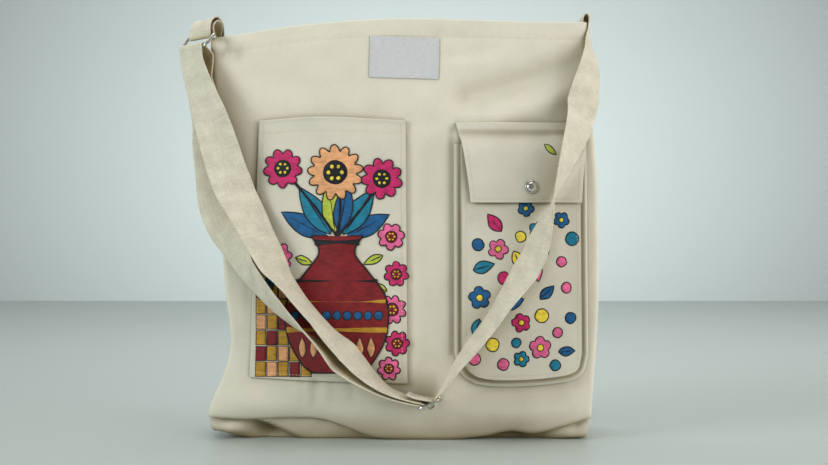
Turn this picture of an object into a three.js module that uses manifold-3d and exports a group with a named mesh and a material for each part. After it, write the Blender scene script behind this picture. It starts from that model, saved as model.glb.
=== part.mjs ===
// Canvas shoulder bag with two front pockets and a long webbing strap.
// Millimetres, +Z up, +X to the right as seen from the front, and the front faces -Y.
// The origin is the middle of the flat underside.
import * as THREE from "three";
import Module from "manifold-3d";

// Cloth thicknesses and the gap left between neighbouring pieces
const WALL = 1.6;
const POCKET_WALL = 1.2;
const PLEAT_WALL = 1.0;
const LABEL_WALL = 0.6;
const GAP = 0.3;

// The bag, one row per height: side seams, half depth at the seams, swell of the
// front and back between the seams, and how far the side strip is tucked in
const SECTIONS = [
  { height: 0, left: -176, right: 181, seam: 44, swell: 6, tuck: -1 },
  { height: 17, left: -184, right: 184, seam: 45, swell: 8, tuck: -2 },
  { height: 33, left: -182, right: 185, seam: 46, swell: 10, tuck: -1 },
  { height: 65, left: -168.5, right: 187.5, seam: 45, swell: 11, tuck: 2 },
  { height: 96, left: -162.5, right: 190, seam: 43, swell: 10, tuck: 5 },
  { height: 150, left: -169, right: 192.5, seam: 39.5, swell: 9, tuck: 7 },
  { height: 250, left: -174.5, right: 192, seam: 32.5, swell: 7, tuck: 7 },
  { height: 330, left: -181, right: 186.5, seam: 26.5, swell: 5, tuck: 4 },
  { height: 370, left: -184.5, right: 184.4, seam: 23, swell: 4, tuck: 1 },
  { height: 415, left: -185, right: 182.8, seam: 20.5, swell: 3, tuck: 0 },
];

// Heights across the bag, from the left seam (-1) to the right seam (+1):
// the rim, and the seams where front and back meet the base strip
const RIM = [
  { across: -1.0, height: 391.5 },
  { across: -0.85, height: 395 },
  { across: -0.65, height: 400.8 },
  { across: -0.43, height: 405.5 },
  { across: -0.2, height: 408.7 },
  { across: 0.0, height: 410 },
  { across: 0.2, height: 409.7 },
  { across: 0.5, height: 408.2 },
  { across: 0.75, height: 407.3 },
  { across: 1.0, height: 407 },
];
const FRONT_HEM = [
  { across: -1.0, height: 22 },
  { across: -0.83, height: 20.5 },
  { across: -0.61, height: 22 },
  { across: -0.43, height: 21 },
  { across: -0.3, height: 14 },
  { across: -0.15, height: 3 },
  { across: 0.0, height: 1.2 },
  { across: 0.27, height: 1 },
  { across: 0.45, height: 4 },
  { across: 0.59, height: 9 },
  { across: 0.72, height: 6.5 },
  { across: 0.87, height: 13 },
  { across: 1.0, height: 21 },
];
const BACK_HEM = [
  { across: -1.0, height: 14 },
  { across: -0.65, height: 10 },
  { across: -0.2, height: 4 },
  { across: 0.2, height: 3 },
  { across: 0.75, height: 8 },
  { across: 1.0, height: 14 },
];
const HEM_ROUND = 15; // height over which a panel swells out from its lower seam
const BELLY = 2.6; // how squarely a panel swells between its side seams
const FOLD_FADE = 8; // how sharply the folds die out at the side seams
const FLOOR_LIFT = 4; // the base corners stand this far off the floor
const FLOOR_FLAT = 0.72; // share of the base length that lies flat
const FLOOR_BLEND = 0.1; // share of the base depth that rises to each seam
const CORNER = { seam: 2, middle: 14 }; // radius of the turn from side to base

// Dents (below zero) and swellings (above zero) of the front, each along a line
const FRONT_FOLDS = {
  shoulderDent: { x0: 70, z0: 332, x1: 188, z1: 368, width: 15, depth: -8.5 },
  shoulderRoll: { x0: 92, z0: 314, x1: 170, z1: 340, width: 12, depth: 4 },
  ringPull: { x0: -186, z0: 384, x1: -160, z1: 372, width: 9, depth: -4 },
  ringRidge: { x0: -178, z0: 366, x1: -158, z1: 388, width: 6, depth: 2.5 },
  middleChannel: { x0: 30, z0: 80, x1: 33, z1: 280, width: 13, depth: -2.5 },
  leftPinch: { x0: -172, z0: 97, x1: -160, z1: 100, width: 16, depth: -5 },
  leftCornerRoll: { x0: -182, z0: 36, x1: -110, z1: 30, width: 13, depth: 4 },
};
const BACK_FOLDS = {
  backDent: { x0: -60, z0: 300, x1: 90, z1: 330, width: 40, depth: -3 },
  backRoll: { x0: -120, z0: 80, x1: 100, z1: 70, width: 35, depth: 3 },
};

// Patch pocket: left and right edges at the bottom and the top, heights across it
const PATCH = { bottomLeft: -144, bottomRight: 8, topLeft: -137, topRight: 6, slack: 3 };
const PATCH_ENDS = [
  { across: 0, bottom: 61, top: 309 },
  { across: 0.4, bottom: 58, top: 312.5 },
  { across: 1, bottom: 55.5, top: 309 },
];

// Bellows pocket: the outline of its front sheet, and how far that stands off the bag
const BELLOWS = { left: 60, right: 174, top: 286, topStand: 8, stand: 11.5, swell: 2 };
const BELLOWS_CLOSING = 0.7; // share of its height above which it nears the bag
const BELLOWS_SIDE = 0.32; // share of its edge that each upright side takes
const BELLOWS_BOTTOM = [
  { across: 0, height: 86 },
  { across: 0.025, height: 74 },
  { across: 0.08, height: 66 },
  { across: 0.16, height: 62 },
  { across: 0.32, height: 60 },
  { across: 0.6, height: 60.5 },
  { across: 0.85, height: 64 },
  { across: 0.94, height: 68 },
  { across: 1, height: 80 },
];
// Side strip of that pocket, from the bag (0) to the front sheet (1): how far it
// lies outside the sheet's edge, and its height off the bag there and in all
const PLEAT = [
  { across: 0, out: 1, rise: 0 },
  { across: 0.2, out: 6.3, rise: 0.08 },
  { across: 0.36, out: 7, rise: 0.26 },
  { across: 0.48, out: 5.2, rise: 0.38 },
  { across: 0.6, out: 2.6, rise: 0.22 },
  { across: 0.72, out: 0.6, rise: 0.12 },
  { across: 0.86, out: -1.6, rise: 0.45 },
  { across: 1, out: 0, rise: 1 },
];
const PLEAT_BACK = 1.1; // the strip's edge stays this far behind the front sheet

// Flap: edges from the bottom (0) to the sewn top (1), and its height off the bag
const FLAP = [
  { up: 0, left: 68, right: 175, height: 228.5, stand: 16.2 },
  { up: 0.25, left: 66, right: 176, height: 247, stand: 16.6 },
  { up: 0.5, left: 63, right: 178, height: 268, stand: 15.6 },
  { up: 0.66, left: 61, right: 179, height: 280, stand: 13.2 },
  { up: 0.78, left: 59.5, right: 179.5, height: 288.5, stand: 8.2 },
  { up: 0.86, left: 57.5, right: 180, height: 294.5, stand: 0.9 },
  { up: 0.93, left: 56, right: 180.5, height: 300, stand: 2.6 },
  { up: 1, left: 54, right: 181, height: 307, stand: 0.9 },
];
const SNAP = { x: 126.5, height: 243.5, radius: 6.3, post: 2.5, hole: 2.9, reach: 0.3, drill: 6 };
// Outline of the snap's cap, in from its rim and up from the flap, and of its stud
const SNAP_CAP = [
  { inset: 0.4, height: 0 },
  { inset: 0, height: 0.5 },
  { inset: 0.5, height: 1.1 },
  { inset: 1.6, height: 1.4 },
  { inset: 3.2, height: 1.9 },
  { inset: SNAP.radius, height: 2.2 },
];
const SNAP_STUD = { inset: 1.3, tall: 0.7, edge: 0.5 };

// Label, bare
const LABEL = { x: 4.5, height: 371, width: 68, tall: 41, turn: -1.5, off: 0.4 };

// Webbing, and the metal it runs through
const WEB = { width: 38, thick: 1.6 };
const WIRE = 1.5;
const BEND = WIRE + GAP + WEB.thick / 2; // radius of webbing bent round a wire
const LAYER = WEB.thick + 2 * GAP; // step from one layer of webbing to the next
const RING = { at: [-199.3, -20.1, 387.9], bar: [0.68, -0.733, 0], up: [0.471, 0.437, 0.767] };
const RING_SIZE = { length: 44, tall: 16, corner: 3 };
const RING_WRAP = { strap: -130, tab: 230, end: 50 }; // where webbing meets and leaves its bars
const SLIDER = { at: [30, -85, 40.9], bar: [0.07, 0.995, -0.05], run: [0.9, -0.06, 0.39] };
const SLIDER_SIZE = { length: 46, pitch: 11, corner: 4 };
// Where the webbing meets and leaves the slider's bars, and the points of its loose end
const SLIDER_WRAP = { entry: -35, lead: 9, left: 60, end: 60 };
const SLIDER_TAIL = [
  { along: -11, up: 10.5 },
  { along: -17, up: 16.5 },
];

// Course of the strap, top to bottom. Turn is how far the webbing is turned about its
// own length: 0 faces the front, below zero its left edge comes forward
const STRAP_RIGHT = [
  { x: 187.9, y: -2, z: 402, turn: -88 },
  { x: 189.1, y: -7, z: 391, turn: -80 },
  { x: 189.7, y: -14, z: 381, turn: -67 },
  { x: 189, y: -22, z: 371, turn: -58 },
  { x: 186.3, y: -28.5, z: 358.5, turn: -50 },
  { x: 183.8, y: -32, z: 348, turn: -43 },
  { x: 181.2, y: -37, z: 338, turn: -36 },
  { x: 178.4, y: -40, z: 328, turn: -31 },
  { x: 175.7, y: -43, z: 318, turn: -32 },
  { x: 169.5, y: -60, z: 298, turn: -44 },
  { x: 159, y: -73, z: 271, turn: -60 },
  { x: 149, y: -79, z: 243, turn: -77 },
  { x: 144, y: -79, z: 227, turn: -88 },
  { x: 138, y: -79, z: 210, turn: -105 },
  { x: 132, y: -79, z: 193, turn: -118 },
  { x: 127, y: -79, z: 179, turn: -122 },
  { x: 118, y: -80, z: 163, turn: -126 },
  { x: 106, y: -82, z: 145, turn: -116 },
  { x: 96, y: -84, z: 131, turn: -110 },
  { x: 87, y: -85, z: 117, turn: -107 },
  { x: 68, y: -89, z: 93, turn: -105 },
  { x: 57, y: -89.5, z: 79, turn: -100 },
  { x: 46.5, y: -90, z: 64, turn: -94 },
  { x: 40.8, y: -88.5, z: 55.5, turn: -90 },
];
const STRAP_FRONT = [
  { x: -204.4, y: -24.8, z: 373, turn: 47 },
  { x: -202.4, y: -27.4, z: 362, turn: 46 },
  { x: -197, y: -33, z: 346, turn: 41 },
  { x: -190, y: -39, z: 328, turn: 33 },
  { x: -182, y: -45, z: 308, turn: 20 },
  { x: -174, y: -48, z: 284, turn: 8 },
  { x: -164, y: -52, z: 255, turn: 0 },
  { x: -155, y: -56, z: 235, turn: -24 },
  { x: -144, y: -61, z: 216, turn: -35 },
  { x: -135, y: -66, z: 199, turn: -43 },
  { x: -126, y: -70, z: 182.5, turn: -46 },
  { x: -118, y: -73, z: 168, turn: -54 },
  { x: -110, y: -75, z: 157, turn: -68 },
  { x: -102, y: -76, z: 147, turn: -73 },
  { x: -92, y: -77, z: 134, turn: -76 },
  { x: -78, y: -78.5, z: 118, turn: -77 },
  { x: -65, y: -80, z: 103, turn: -73 },
  { x: -49, y: -81, z: 88, turn: -64 },
  { x: -37.5, y: -81, z: 75, turn: -68 },
  { x: -24.5, y: -81, z: 62, turn: -77 },
  { x: -9, y: -81.5, z: 51, turn: -86 },
];
const STRAP_BACK = [
  { x: -195.2, y: -15.9, z: 373, turn: 48 },
  { x: -195, y: -17, z: 362, turn: 48 },
  { x: -196, y: -22, z: 345, turn: 41 },
  { x: -186, y: -34, z: 309, turn: 22 },
  { x: -183.5, y: -38, z: 285, turn: 14 },
  { x: -180, y: -41, z: 256, turn: 12 },
  { x: -177, y: -45, z: 231, turn: 13 },
  { x: -169, y: -53, z: 209, turn: 18 },
  { x: -160, y: -59, z: 193, turn: 33 },
  { x: -152.5, y: -64, z: 179.5, turn: 46 },
  { x: -144, y: -69, z: 164, turn: 56 },
  { x: -128.5, y: -73, z: 145, turn: 63 },
  { x: -116, y: -76, z: 131, turn: 67 },
  { x: -96, y: -78, z: 112, turn: 78 },
  { x: -72, y: -80, z: 93, turn: 98 },
  { x: -56.5, y: -81, z: 78, turn: 112 },
  { x: -41, y: -81, z: 67, turn: 110 },
  { x: -24, y: -80.5, z: 55.5, turn: 101 },
  { x: -8, y: -81, z: 46.5, turn: 93 },
];
// Sewn end of the strap inside the right corner, over the rim and down outside
const STRAP_ROOT = [
  { x: 180, y: 0, z: 370 },
  { x: 179.8, y: 0, z: 398 },
  { x: 180.3, y: 0, z: 410.5 },
  { x: 182.1, y: 0, z: 415 },
  { x: 184.7, y: 0, z: 416 },
  { x: 187, y: -0.3, z: 412.5 },
];
// Middle line of the doubled ring tab, from inside the left corner to the ring;
// yaw is the direction across it, from the right towards the front
const TAB = [
  { x: -176.3, y: 2, z: 362, yaw: 90 },
  { x: -176.8, y: 2, z: 384, yaw: 88 },
  { x: -180.1, y: 0, z: 396.8, yaw: 80 },
  { x: -185.8, y: -5, z: 405.4, yaw: 66 },
  { x: -191.3, y: -11.5, z: 408.5, yaw: 54 },
  { x: -195, y: -16, z: 403.3, yaw: 51 },
];

const TAB_SPREAD = 1.2; // half the slack between the tab's two layers

// How finely each piece is divided: cells across and up, longest steps of webbing in
// millimetres and in degrees of a bend, and the divisions of round metal
const CELLS = {
  front: [26, 26],
  back: [18, 18],
  sides: 12,
  corner: 4,
  base: 14,
  strip: 6,
  patch: [12, 14],
  bellows: [12, 12],
  pleat: [30, 8],
  flap: [10, 10],
  label: [6, 4],
  strap: 12,
  tab: 5,
  turn: 15,
  round: 24,
  wireTurns: [0, 30, 60, 90],
  wireSides: 10,
};

const vec = (x, y, z) => new THREE.Vector3(x, y, z);
const mix = THREE.MathUtils.lerp;
const smooth = THREE.MathUtils.smoothstep;

// One column of a table at a position along another, on a smooth curve through the rows
function along(table, key, name, at) {
  const last = table.length - 1;
  const place = THREE.MathUtils.clamp(at, table[0][key], table[last][key]);
  let row = 0;
  while (row < last - 1 && place > table[row + 1][key]) row += 1;
  const slope = (i) => {
    const before = table[Math.max(i - 1, 0)];
    const after = table[Math.min(i + 1, last)];
    return (after[name] - before[name]) / (after[key] - before[key]);
  };
  const span = table[row + 1][key] - table[row][key];
  const t = (place - table[row][key]) / span;
  const rise = t * t * (3 - 2 * t);
  const bend = t * (1 - t) * span;
  const ends = mix(table[row][name], table[row + 1][name], rise);
  return ends + bend * ((1 - t) * slope(row) - t * slope(row + 1));
}

const section = (name, z) => along(SECTIONS, "height", name, z);
const edge = (table, across) => along(table, "across", "height", across);

// Place across the bag, -1 at the left seam and +1 at the right seam
function acrossAt(x, z) {
  const left = section("left", z);
  const right = section("right", z);
  return (2 * x - left - right) / (right - left);
}

// Sum of the folds near a point, each fading out away from its line
function foldAt(folds, x, z) {
  return Object.values(folds).reduce((sum, fold) => {
    const dx = fold.x1 - fold.x0;
    const dz = fold.z1 - fold.z0;
    const t = ((x - fold.x0) * dx + (z - fold.z0) * dz) / (dx * dx + dz * dz);
    const near = THREE.MathUtils.clamp(t, 0, 1);
    const away = Math.hypot(x - fold.x0 - near * dx, z - fold.z0 - near * dz);
    return sum + fold.depth * Math.exp(-((away / fold.width) ** 2));
  }, 0);
}

// Distance of a panel's outer face from the middle of the bag
function panelDepth(folds, hem, x, z) {
  const across = THREE.MathUtils.clamp(acrossAt(x, z), -1, 1);
  const belly = 1 - Math.abs(across) ** BELLY;
  const rise = 1 - Math.exp(-Math.max(z - edge(hem, across), 0) / HEM_ROUND);
  const fold = foldAt(folds, x, z) * (1 - across ** FOLD_FADE) * rise;
  return section("seam", z) + GAP + WALL + section("swell", z) * belly * rise + fold;
}
const frontAt = (x, z) => -panelDepth(FRONT_FOLDS, FRONT_HEM, x, z);
const backAt = (x, z) => panelDepth(BACK_FOLDS, BACK_HEM, x, z);

// Point in front of the front panel, lifted off it
const onFront = (x, z, off) => vec(x, frontAt(x, z) - off, z);

// Closed sheet between two surfaces that are given over a unit square
function sheet(outer, inner, [columns, rows]) {
  const points = [];
  const faces = [];
  const layer = (columns + 1) * (rows + 1);
  const spot = (side, i, j) => side * layer + j * (columns + 1) + i;
  const quad = (a, b, c, d) => faces.push(a, b, c, a, c, d);
  for (const surface of [outer, inner]) {
    for (let j = 0; j <= rows; j += 1) {
      for (let i = 0; i <= columns; i += 1) {
        points.push(...surface(i / columns, j / rows).toArray());
      }
    }
  }
  for (let j = 0; j < rows; j += 1) {
    for (let i = 0; i < columns; i += 1) {
      quad(spot(0, i, j), spot(0, i + 1, j), spot(0, i + 1, j + 1), spot(0, i, j + 1));
      quad(spot(1, i, j), spot(1, i, j + 1), spot(1, i + 1, j + 1), spot(1, i + 1, j));
    }
  }
  for (let i = 0; i < columns; i += 1) {
    quad(spot(1, i, 0), spot(1, i + 1, 0), spot(0, i + 1, 0), spot(0, i, 0));
    quad(spot(0, i, rows), spot(0, i + 1, rows), spot(1, i + 1, rows), spot(1, i, rows));
  }
  for (let j = 0; j < rows; j += 1) {
    quad(spot(1, 0, j + 1), spot(1, 0, j), spot(0, 0, j), spot(0, 0, j + 1));
    quad(spot(0, columns, j + 1), spot(0, columns, j), spot(1, columns, j), spot(1, columns, j + 1));
  }
  const geometry = new THREE.BufferGeometry();
  geometry.setAttribute("position", new THREE.Float32BufferAttribute(points, 3));
  geometry.setIndex(faces);
  return geometry;
}

// The same surface moved back along its normal by a thickness
function behind(surface, thickness) {
  const step = 1e-3;
  return (s, t) => {
    const s0 = Math.max(s - step, 0);
    const s1 = Math.min(s + step, 1);
    const t0 = Math.max(t - step, 0);
    const t1 = Math.min(t + step, 1);
    const alongS = surface(s1, t).sub(surface(s0, t));
    const alongT = surface(s, t1).sub(surface(s, t0));
    const normal = alongS.cross(alongT).normalize();
    return surface(s, t).addScaledVector(normal, -thickness);
  };
}

// Front or back panel; s runs across, t runs up
function panel(depthAt, hem, facing) {
  return (s, t) => {
    const across = facing * (1 - 2 * s);
    const low = edge(hem, across);
    const z = mix(low, edge(RIM, across), t);
    const middle = (section("left", z) + section("right", z)) / 2;
    const half = (section("right", z) - section("left", z)) / 2;
    const x = middle + half * across;
    return vec(x, depthAt(x, z), z);
  };
}

function frontPanel() {
  const outer = panel(frontAt, FRONT_HEM, -1);
  return sheet(outer, behind(outer, WALL), CELLS.front);
}

function backPanel() {
  const outer = panel(backAt, BACK_HEM, 1);
  return sheet(outer, behind(outer, WALL), CELLS.back);
}

// Height of the base strip's underside; t runs from the front seam to the back seam
function baseHeight(across, t) {
  const seam = edge(t < 0.5 ? FRONT_HEM : BACK_HEM, across);
  const flat = smooth(t, 0, FLOOR_BLEND) * smooth(1 - t, 0, FLOOR_BLEND);
  const corner = FLOOR_LIFT * smooth(Math.abs(across), FLOOR_FLAT, 1);
  return mix(seam, corner, flat);
}

// Stations along the side and base strip: down the left, along the base, up the right
function stripStations() {
  const list = [];
  const { sides, corner, base } = CELLS;
  for (let i = 0; i <= sides; i += 1) list.push({ part: "left", at: i / sides });
  for (let i = 1; i < corner; i += 1) list.push({ part: "leftTurn", at: i / corner });
  for (let i = 0; i <= base; i += 1) list.push({ part: "base", at: i / base });
  for (let i = 1; i < corner; i += 1) list.push({ part: "rightTurn", at: i / corner });
  for (let i = 0; i <= sides; i += 1) list.push({ part: "right", at: i / sides });
  return list;
}

// Outer face of a side strip; hollow is 0 at its seams and 1 midway between them
function sideAt(side, z, hollow) {
  const seam = section(side < 0 ? "left" : "right", z);
  return seam - side * section("tuck", z) * hollow;
}

function stripPoint({ part, at }, t) {
  const hollow = (4 * t * (1 - t)) ** 2;
  const turn = mix(CORNER.seam, CORNER.middle, hollow);
  const foot = (side) => baseHeight(side, t) + turn;
  const depth = (z) => mix(GAP - section("seam", z), section("seam", z) - GAP, t);
  if (part === "base") {
    const from = sideAt(-1, foot(-1), hollow) + turn;
    const to = sideAt(1, foot(1), hollow) - turn;
    const z = baseHeight(2 * at - 1, t);
    return vec(mix(from, to, at), depth(z), z);
  }
  const side = part.startsWith("left") ? -1 : 1;
  const down = side < 0 ? at : 1 - at;
  if (part === "left" || part === "right") {
    const z = mix(edge(RIM, side), foot(side), down);
    return vec(sideAt(side, z, hollow), depth(z), z);
  }
  const angle = (Math.PI / 2) * down;
  const x = sideAt(side, foot(side), hollow) - side * turn * (1 - Math.cos(angle));
  const z = foot(side) - turn * Math.sin(angle);
  return vec(x, depth(z), z);
}

function gusset() {
  const stations = stripStations();
  const count = stations.length - 1;
  const outer = (s, t) => {
    const place = s * count;
    const first = Math.min(Math.floor(place), count - 1);
    const across = (1 + Math.cos(Math.PI * t)) / 2;
    const from = stripPoint(stations[first], across);
    return from.lerp(stripPoint(stations[first + 1], across), place - first);
  };
  return sheet(outer, behind(outer, WALL), [count, CELLS.strip]);
}

// Patch pocket, sewn at the sides and bottom and a little slack at its mouth
function patchPocket() {
  const surface = (thickness) => (s, t) => {
    const x = mix(mix(PATCH.bottomLeft, PATCH.bottomRight, s), mix(PATCH.topLeft, PATCH.topRight, s), t);
    const low = along(PATCH_ENDS, "across", "bottom", s);
    const z = mix(low, along(PATCH_ENDS, "across", "top", s), t);
    const slack = PATCH.slack * Math.sin(Math.PI * s) * smooth(t, 0, 1);
    return onFront(x, z, 2 * GAP + slack + thickness);
  };
  return sheet(surface(POCKET_WALL), surface(0), CELLS.patch);
}

// Height of the bellows pocket's front sheet off the bag
function bellowsStand(s, t) {
  const swell = BELLOWS.swell * Math.sin(Math.PI * s) * Math.sin(Math.PI * t);
  return mix(BELLOWS.stand, BELLOWS.topStand, smooth(t, BELLOWS_CLOSING, 1)) + swell;
}

function bellowsSpot(s, t) {
  const x = mix(BELLOWS.left, BELLOWS.right, s);
  const low = along(BELLOWS_BOTTOM, "across", "height", s);
  return { x, z: mix(low, BELLOWS.top, t) };
}

function bellowsFront() {
  const surface = (thickness) => (s, t) => {
    const eased = (1 - Math.cos(Math.PI * s)) / 2;
    const { x, z } = bellowsSpot(eased, t);
    return onFront(x, z, bellowsStand(eased, t) + thickness);
  };
  return sheet(surface(POCKET_WALL), surface(0), CELLS.bellows);
}

// Edge of the bellows pocket from the top left, round the bottom, to the top right
function bellowsEdge(s) {
  const side = BELLOWS_SIDE;
  if (s < side) return { ...bellowsSpot(0, 1 - s / side), up: 1 - s / side };
  if (s > 1 - side) {
    const up = (s - 1 + side) / side;
    return { ...bellowsSpot(1, up), up };
  }
  const place = (s - side) / (1 - 2 * side);
  return { ...bellowsSpot((1 - Math.cos(Math.PI * place)) / 2, 0), up: 0 };
}

function bellowsPleat() {
  const surface = (s, t) => {
    const step = 0.015;
    const here = bellowsEdge(s);
    const ahead = bellowsEdge(Math.min(s + step, 1));
    const back = bellowsEdge(Math.max(s - step, 0));
    const run = Math.hypot(ahead.x - back.x, ahead.z - back.z);
    const outX = (ahead.z - back.z) / run;
    const outZ = -(ahead.x - back.x) / run;
    const out = along(PLEAT, "across", "out", t);
    const full = bellowsStand(0, here.up) - PLEAT_BACK;
    const low = PLEAT_WALL + 2 * GAP;
    const off = mix(low, full, along(PLEAT, "across", "rise", t));
    return onFront(here.x + outX * out, here.z + outZ * out, off);
  };
  return sheet(surface, behind(surface, PLEAT_WALL), CELLS.pleat);
}

function flapSurface(thickness) {
  return (s, t) => {
    const x = mix(along(FLAP, "up", "left", t), along(FLAP, "up", "right", t), s);
    const z = along(FLAP, "up", "height", t);
    return onFront(x, z, along(FLAP, "up", "stand", t) + thickness);
  };
}

// Frame of the snap: on the flap, its axis square to the flap and pointing out
function snapFrame() {
  const step = 2;
  const up = along(FLAP, "height", "up", SNAP.height);
  const off = along(FLAP, "up", "stand", up) + POCKET_WALL;
  const at = onFront(SNAP.x, SNAP.height, off);
  const side = onFront(SNAP.x + step, SNAP.height, off).sub(at);
  const rise = onFront(SNAP.x, SNAP.height + step, off).sub(at);
  const axis = side.cross(rise).normalize();
  const turn = new THREE.Quaternion().setFromUnitVectors(vec(0, 1, 0), axis);
  return { at, turn };
}

// Turned piece whose axis is the snap's own; rows give the radius and the height
function snapTurning(rows) {
  const profile = rows.map(([radius, height]) => new THREE.Vector2(radius, height));
  const { at, turn } = snapFrame();
  return new THREE.LatheGeometry(profile, CELLS.round).applyQuaternion(turn).translate(at.x, at.y, at.z);
}

function snapCap() {
  const foot = -POCKET_WALL - SNAP.reach;
  const dome = SNAP_CAP.map(({ inset, height }) => [SNAP.radius - inset, GAP + height]);
  return snapTurning([[0, foot], [SNAP.post, foot], [SNAP.post, GAP], ...dome]);
}

function snapStud() {
  const top = -POCKET_WALL - SNAP.reach - GAP;
  const foot = top - SNAP_STUD.tall;
  const rim = SNAP.radius - SNAP_STUD.inset;
  return snapTurning([[0, foot], [rim, foot], [rim, foot + SNAP_STUD.edge], [SNAP.post, top], [0, top]]);
}

function label() {
  const turn = THREE.MathUtils.degToRad(LABEL.turn);
  const surface = (thickness) => (s, t) => {
    const across = (s - 0.5) * LABEL.width;
    const up = (t - 0.5) * LABEL.tall;
    const x = LABEL.x + across * Math.cos(turn) - up * Math.sin(turn);
    const z = LABEL.height + across * Math.sin(turn) + up * Math.cos(turn);
    return onFront(x, z, LABEL.off + thickness);
  };
  return sheet(surface(LABEL_WALL), surface(0), CELLS.label);
}

// Direction across the webbing where it runs along a direction with a given turn
function widthAt(run, turn) {
  const flat = run.clone().cross(vec(0, 1, 0)).normalize();
  const forward = run.clone().cross(flat);
  const angle = THREE.MathUtils.degToRad(turn);
  return flat.multiplyScalar(Math.cos(angle)).addScaledVector(forward, Math.sin(angle));
}

// Rows of a course as points with the direction across the webbing
function course(table) {
  const points = table.map((row) => vec(row.x, row.y, row.z));
  return points.map((point, i) => {
    const before = points[Math.max(i - 1, 0)];
    const after = points[Math.min(i + 1, points.length - 1)];
    return { point, width: widthAt(after.clone().sub(before).normalize(), table[i].turn) };
  });
}

// Frame of a piece of metal: its middle, the bar direction and the other two
function hardwareFrame(at, bar, other) {
  const along = vec(...bar).normalize();
  const second = vec(...other).addScaledVector(along, -vec(...other).dot(along)).normalize();
  const third = second.clone().cross(along).normalize();
  const spot = (p, q) => vec(...at).addScaledVector(second, p).addScaledVector(third, q);
  return { along, second, third, spot };
}
const sliderFrame = () => hardwareFrame(SLIDER.at, SLIDER.bar, SLIDER.run);
const ringFrame = () => hardwareFrame(RING.at, RING.bar, RING.up);

// Points on an arc in a frame's plane, from one angle in degrees to another
function arc(frame, middle, radius, from, to) {
  const steps = Math.ceil(Math.abs(to - from) / CELLS.turn);
  const list = [];
  for (let i = 0; i <= steps; i += 1) {
    const angle = THREE.MathUtils.degToRad(mix(from, to, i / steps));
    const p = middle[0] + radius * Math.cos(angle);
    const q = middle[1] + radius * Math.sin(angle);
    list.push({ point: frame.spot(p, q), width: frame.along.clone() });
  }
  return list;
}

// Slope in degrees of the webbing between the slider's middle bar and an outer bar
function sliderSlope() {
  return THREE.MathUtils.radToDeg(Math.asin((2 * BEND + LAYER) / SLIDER_SIZE.pitch));
}

// Way through the slider, from above: down beside the right bar, under the middle
// bar and out over the left bar
function sliderPass() {
  const frame = sliderFrame();
  const { entry, lead, left } = SLIDER_WRAP;
  const slope = sliderSlope();
  const wraps = arc(frame, [0, 0], BEND + LAYER, entry, -90 - slope);
  const lean = THREE.MathUtils.degToRad(-entry);
  const above = frame.second.clone().multiplyScalar(lead * Math.sin(lean));
  above.addScaledVector(frame.third, lead * Math.cos(lean));
  return [
    { point: wraps[0].point.clone().add(above), width: frame.along.clone() },
    ...wraps,
    ...arc(frame, [-SLIDER_SIZE.pitch, 0], BEND, 90 - slope, left),
  ];
}

// End of the strap: over the first layer, round the middle bar and back as a short tail
function sliderEnd() {
  const frame = sliderFrame();
  const { left, end } = SLIDER_WRAP;
  const slope = sliderSlope();
  const tail = SLIDER_TAIL.map(({ along, up }) => ({ point: frame.spot(along, up), width: frame.along.clone() }));
  return [
    ...arc(frame, [-SLIDER_SIZE.pitch, 0], BEND + LAYER, left, 90 - slope),
    ...arc(frame, [0, 0], BEND, -90 - slope, end),
    ...tail,
  ];
}

// The same rows, each width on the side of the width before it
function aligned(rows) {
  const made = [rows[0]];
  for (const { point, width } of rows.slice(1)) {
    const side = width.dot(made.at(-1).width) < 0 ? -1 : 1;
    made.push({ point, width: width.clone().multiplyScalar(side) });
  }
  return made;
}

// Ribbon of webbing through a list of points, each with the direction across it
function ribbon(rows, longest) {
  const curve = new THREE.CatmullRomCurve3(rows.map((row) => row.point), false, "centripetal");
  const spans = rows.length - 1;
  const frames = [];
  for (let i = 0; i < spans; i += 1) {
    const length = rows[i].point.distanceTo(rows[i + 1].point);
    const steps = Math.max(1, Math.ceil(length / longest));
    for (let j = 0; j < steps; j += 1) frames.push((i + j / steps) / spans);
  }
  frames.push(1);
  const corner = (place, side, face) => {
    const first = Math.min(Math.floor(place * spans), spans - 1);
    const width = rows[first].width.clone().lerp(rows[first + 1].width, place * spans - first);
    const run = curve.getTangent(place);
    width.addScaledVector(run, -width.dot(run)).normalize();
    const normal = width.clone().cross(run);
    const half = side * (WEB.width / 2);
    const lift = face * (WEB.thick / 2);
    return curve.getPoint(place).addScaledVector(width, half).addScaledVector(normal, lift);
  };
  const count = frames.length - 1;
  const face = (which) => (s, t) => corner(frames[Math.round(t * count)], 2 * s - 1, which);
  return sheet(face(1), face(-1), [1, count]);
}

function strap() {
  const root = STRAP_ROOT.map((row) => ({ point: vec(row.x, row.y, row.z), width: vec(0, 1, 0) }));
  const ring = ringFrame();
  const bar = [-RING_SIZE.tall / 2, 0];
  const rows = [
    ...root,
    ...course(STRAP_RIGHT),
    ...sliderPass(),
    ...course(STRAP_BACK).reverse(),
    ...arc(ring, bar, BEND, RING_WRAP.end, RING_WRAP.strap),
    ...course(STRAP_FRONT),
    ...sliderEnd(),
  ];
  return ribbon(aligned(rows), CELLS.strap);
}

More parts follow.
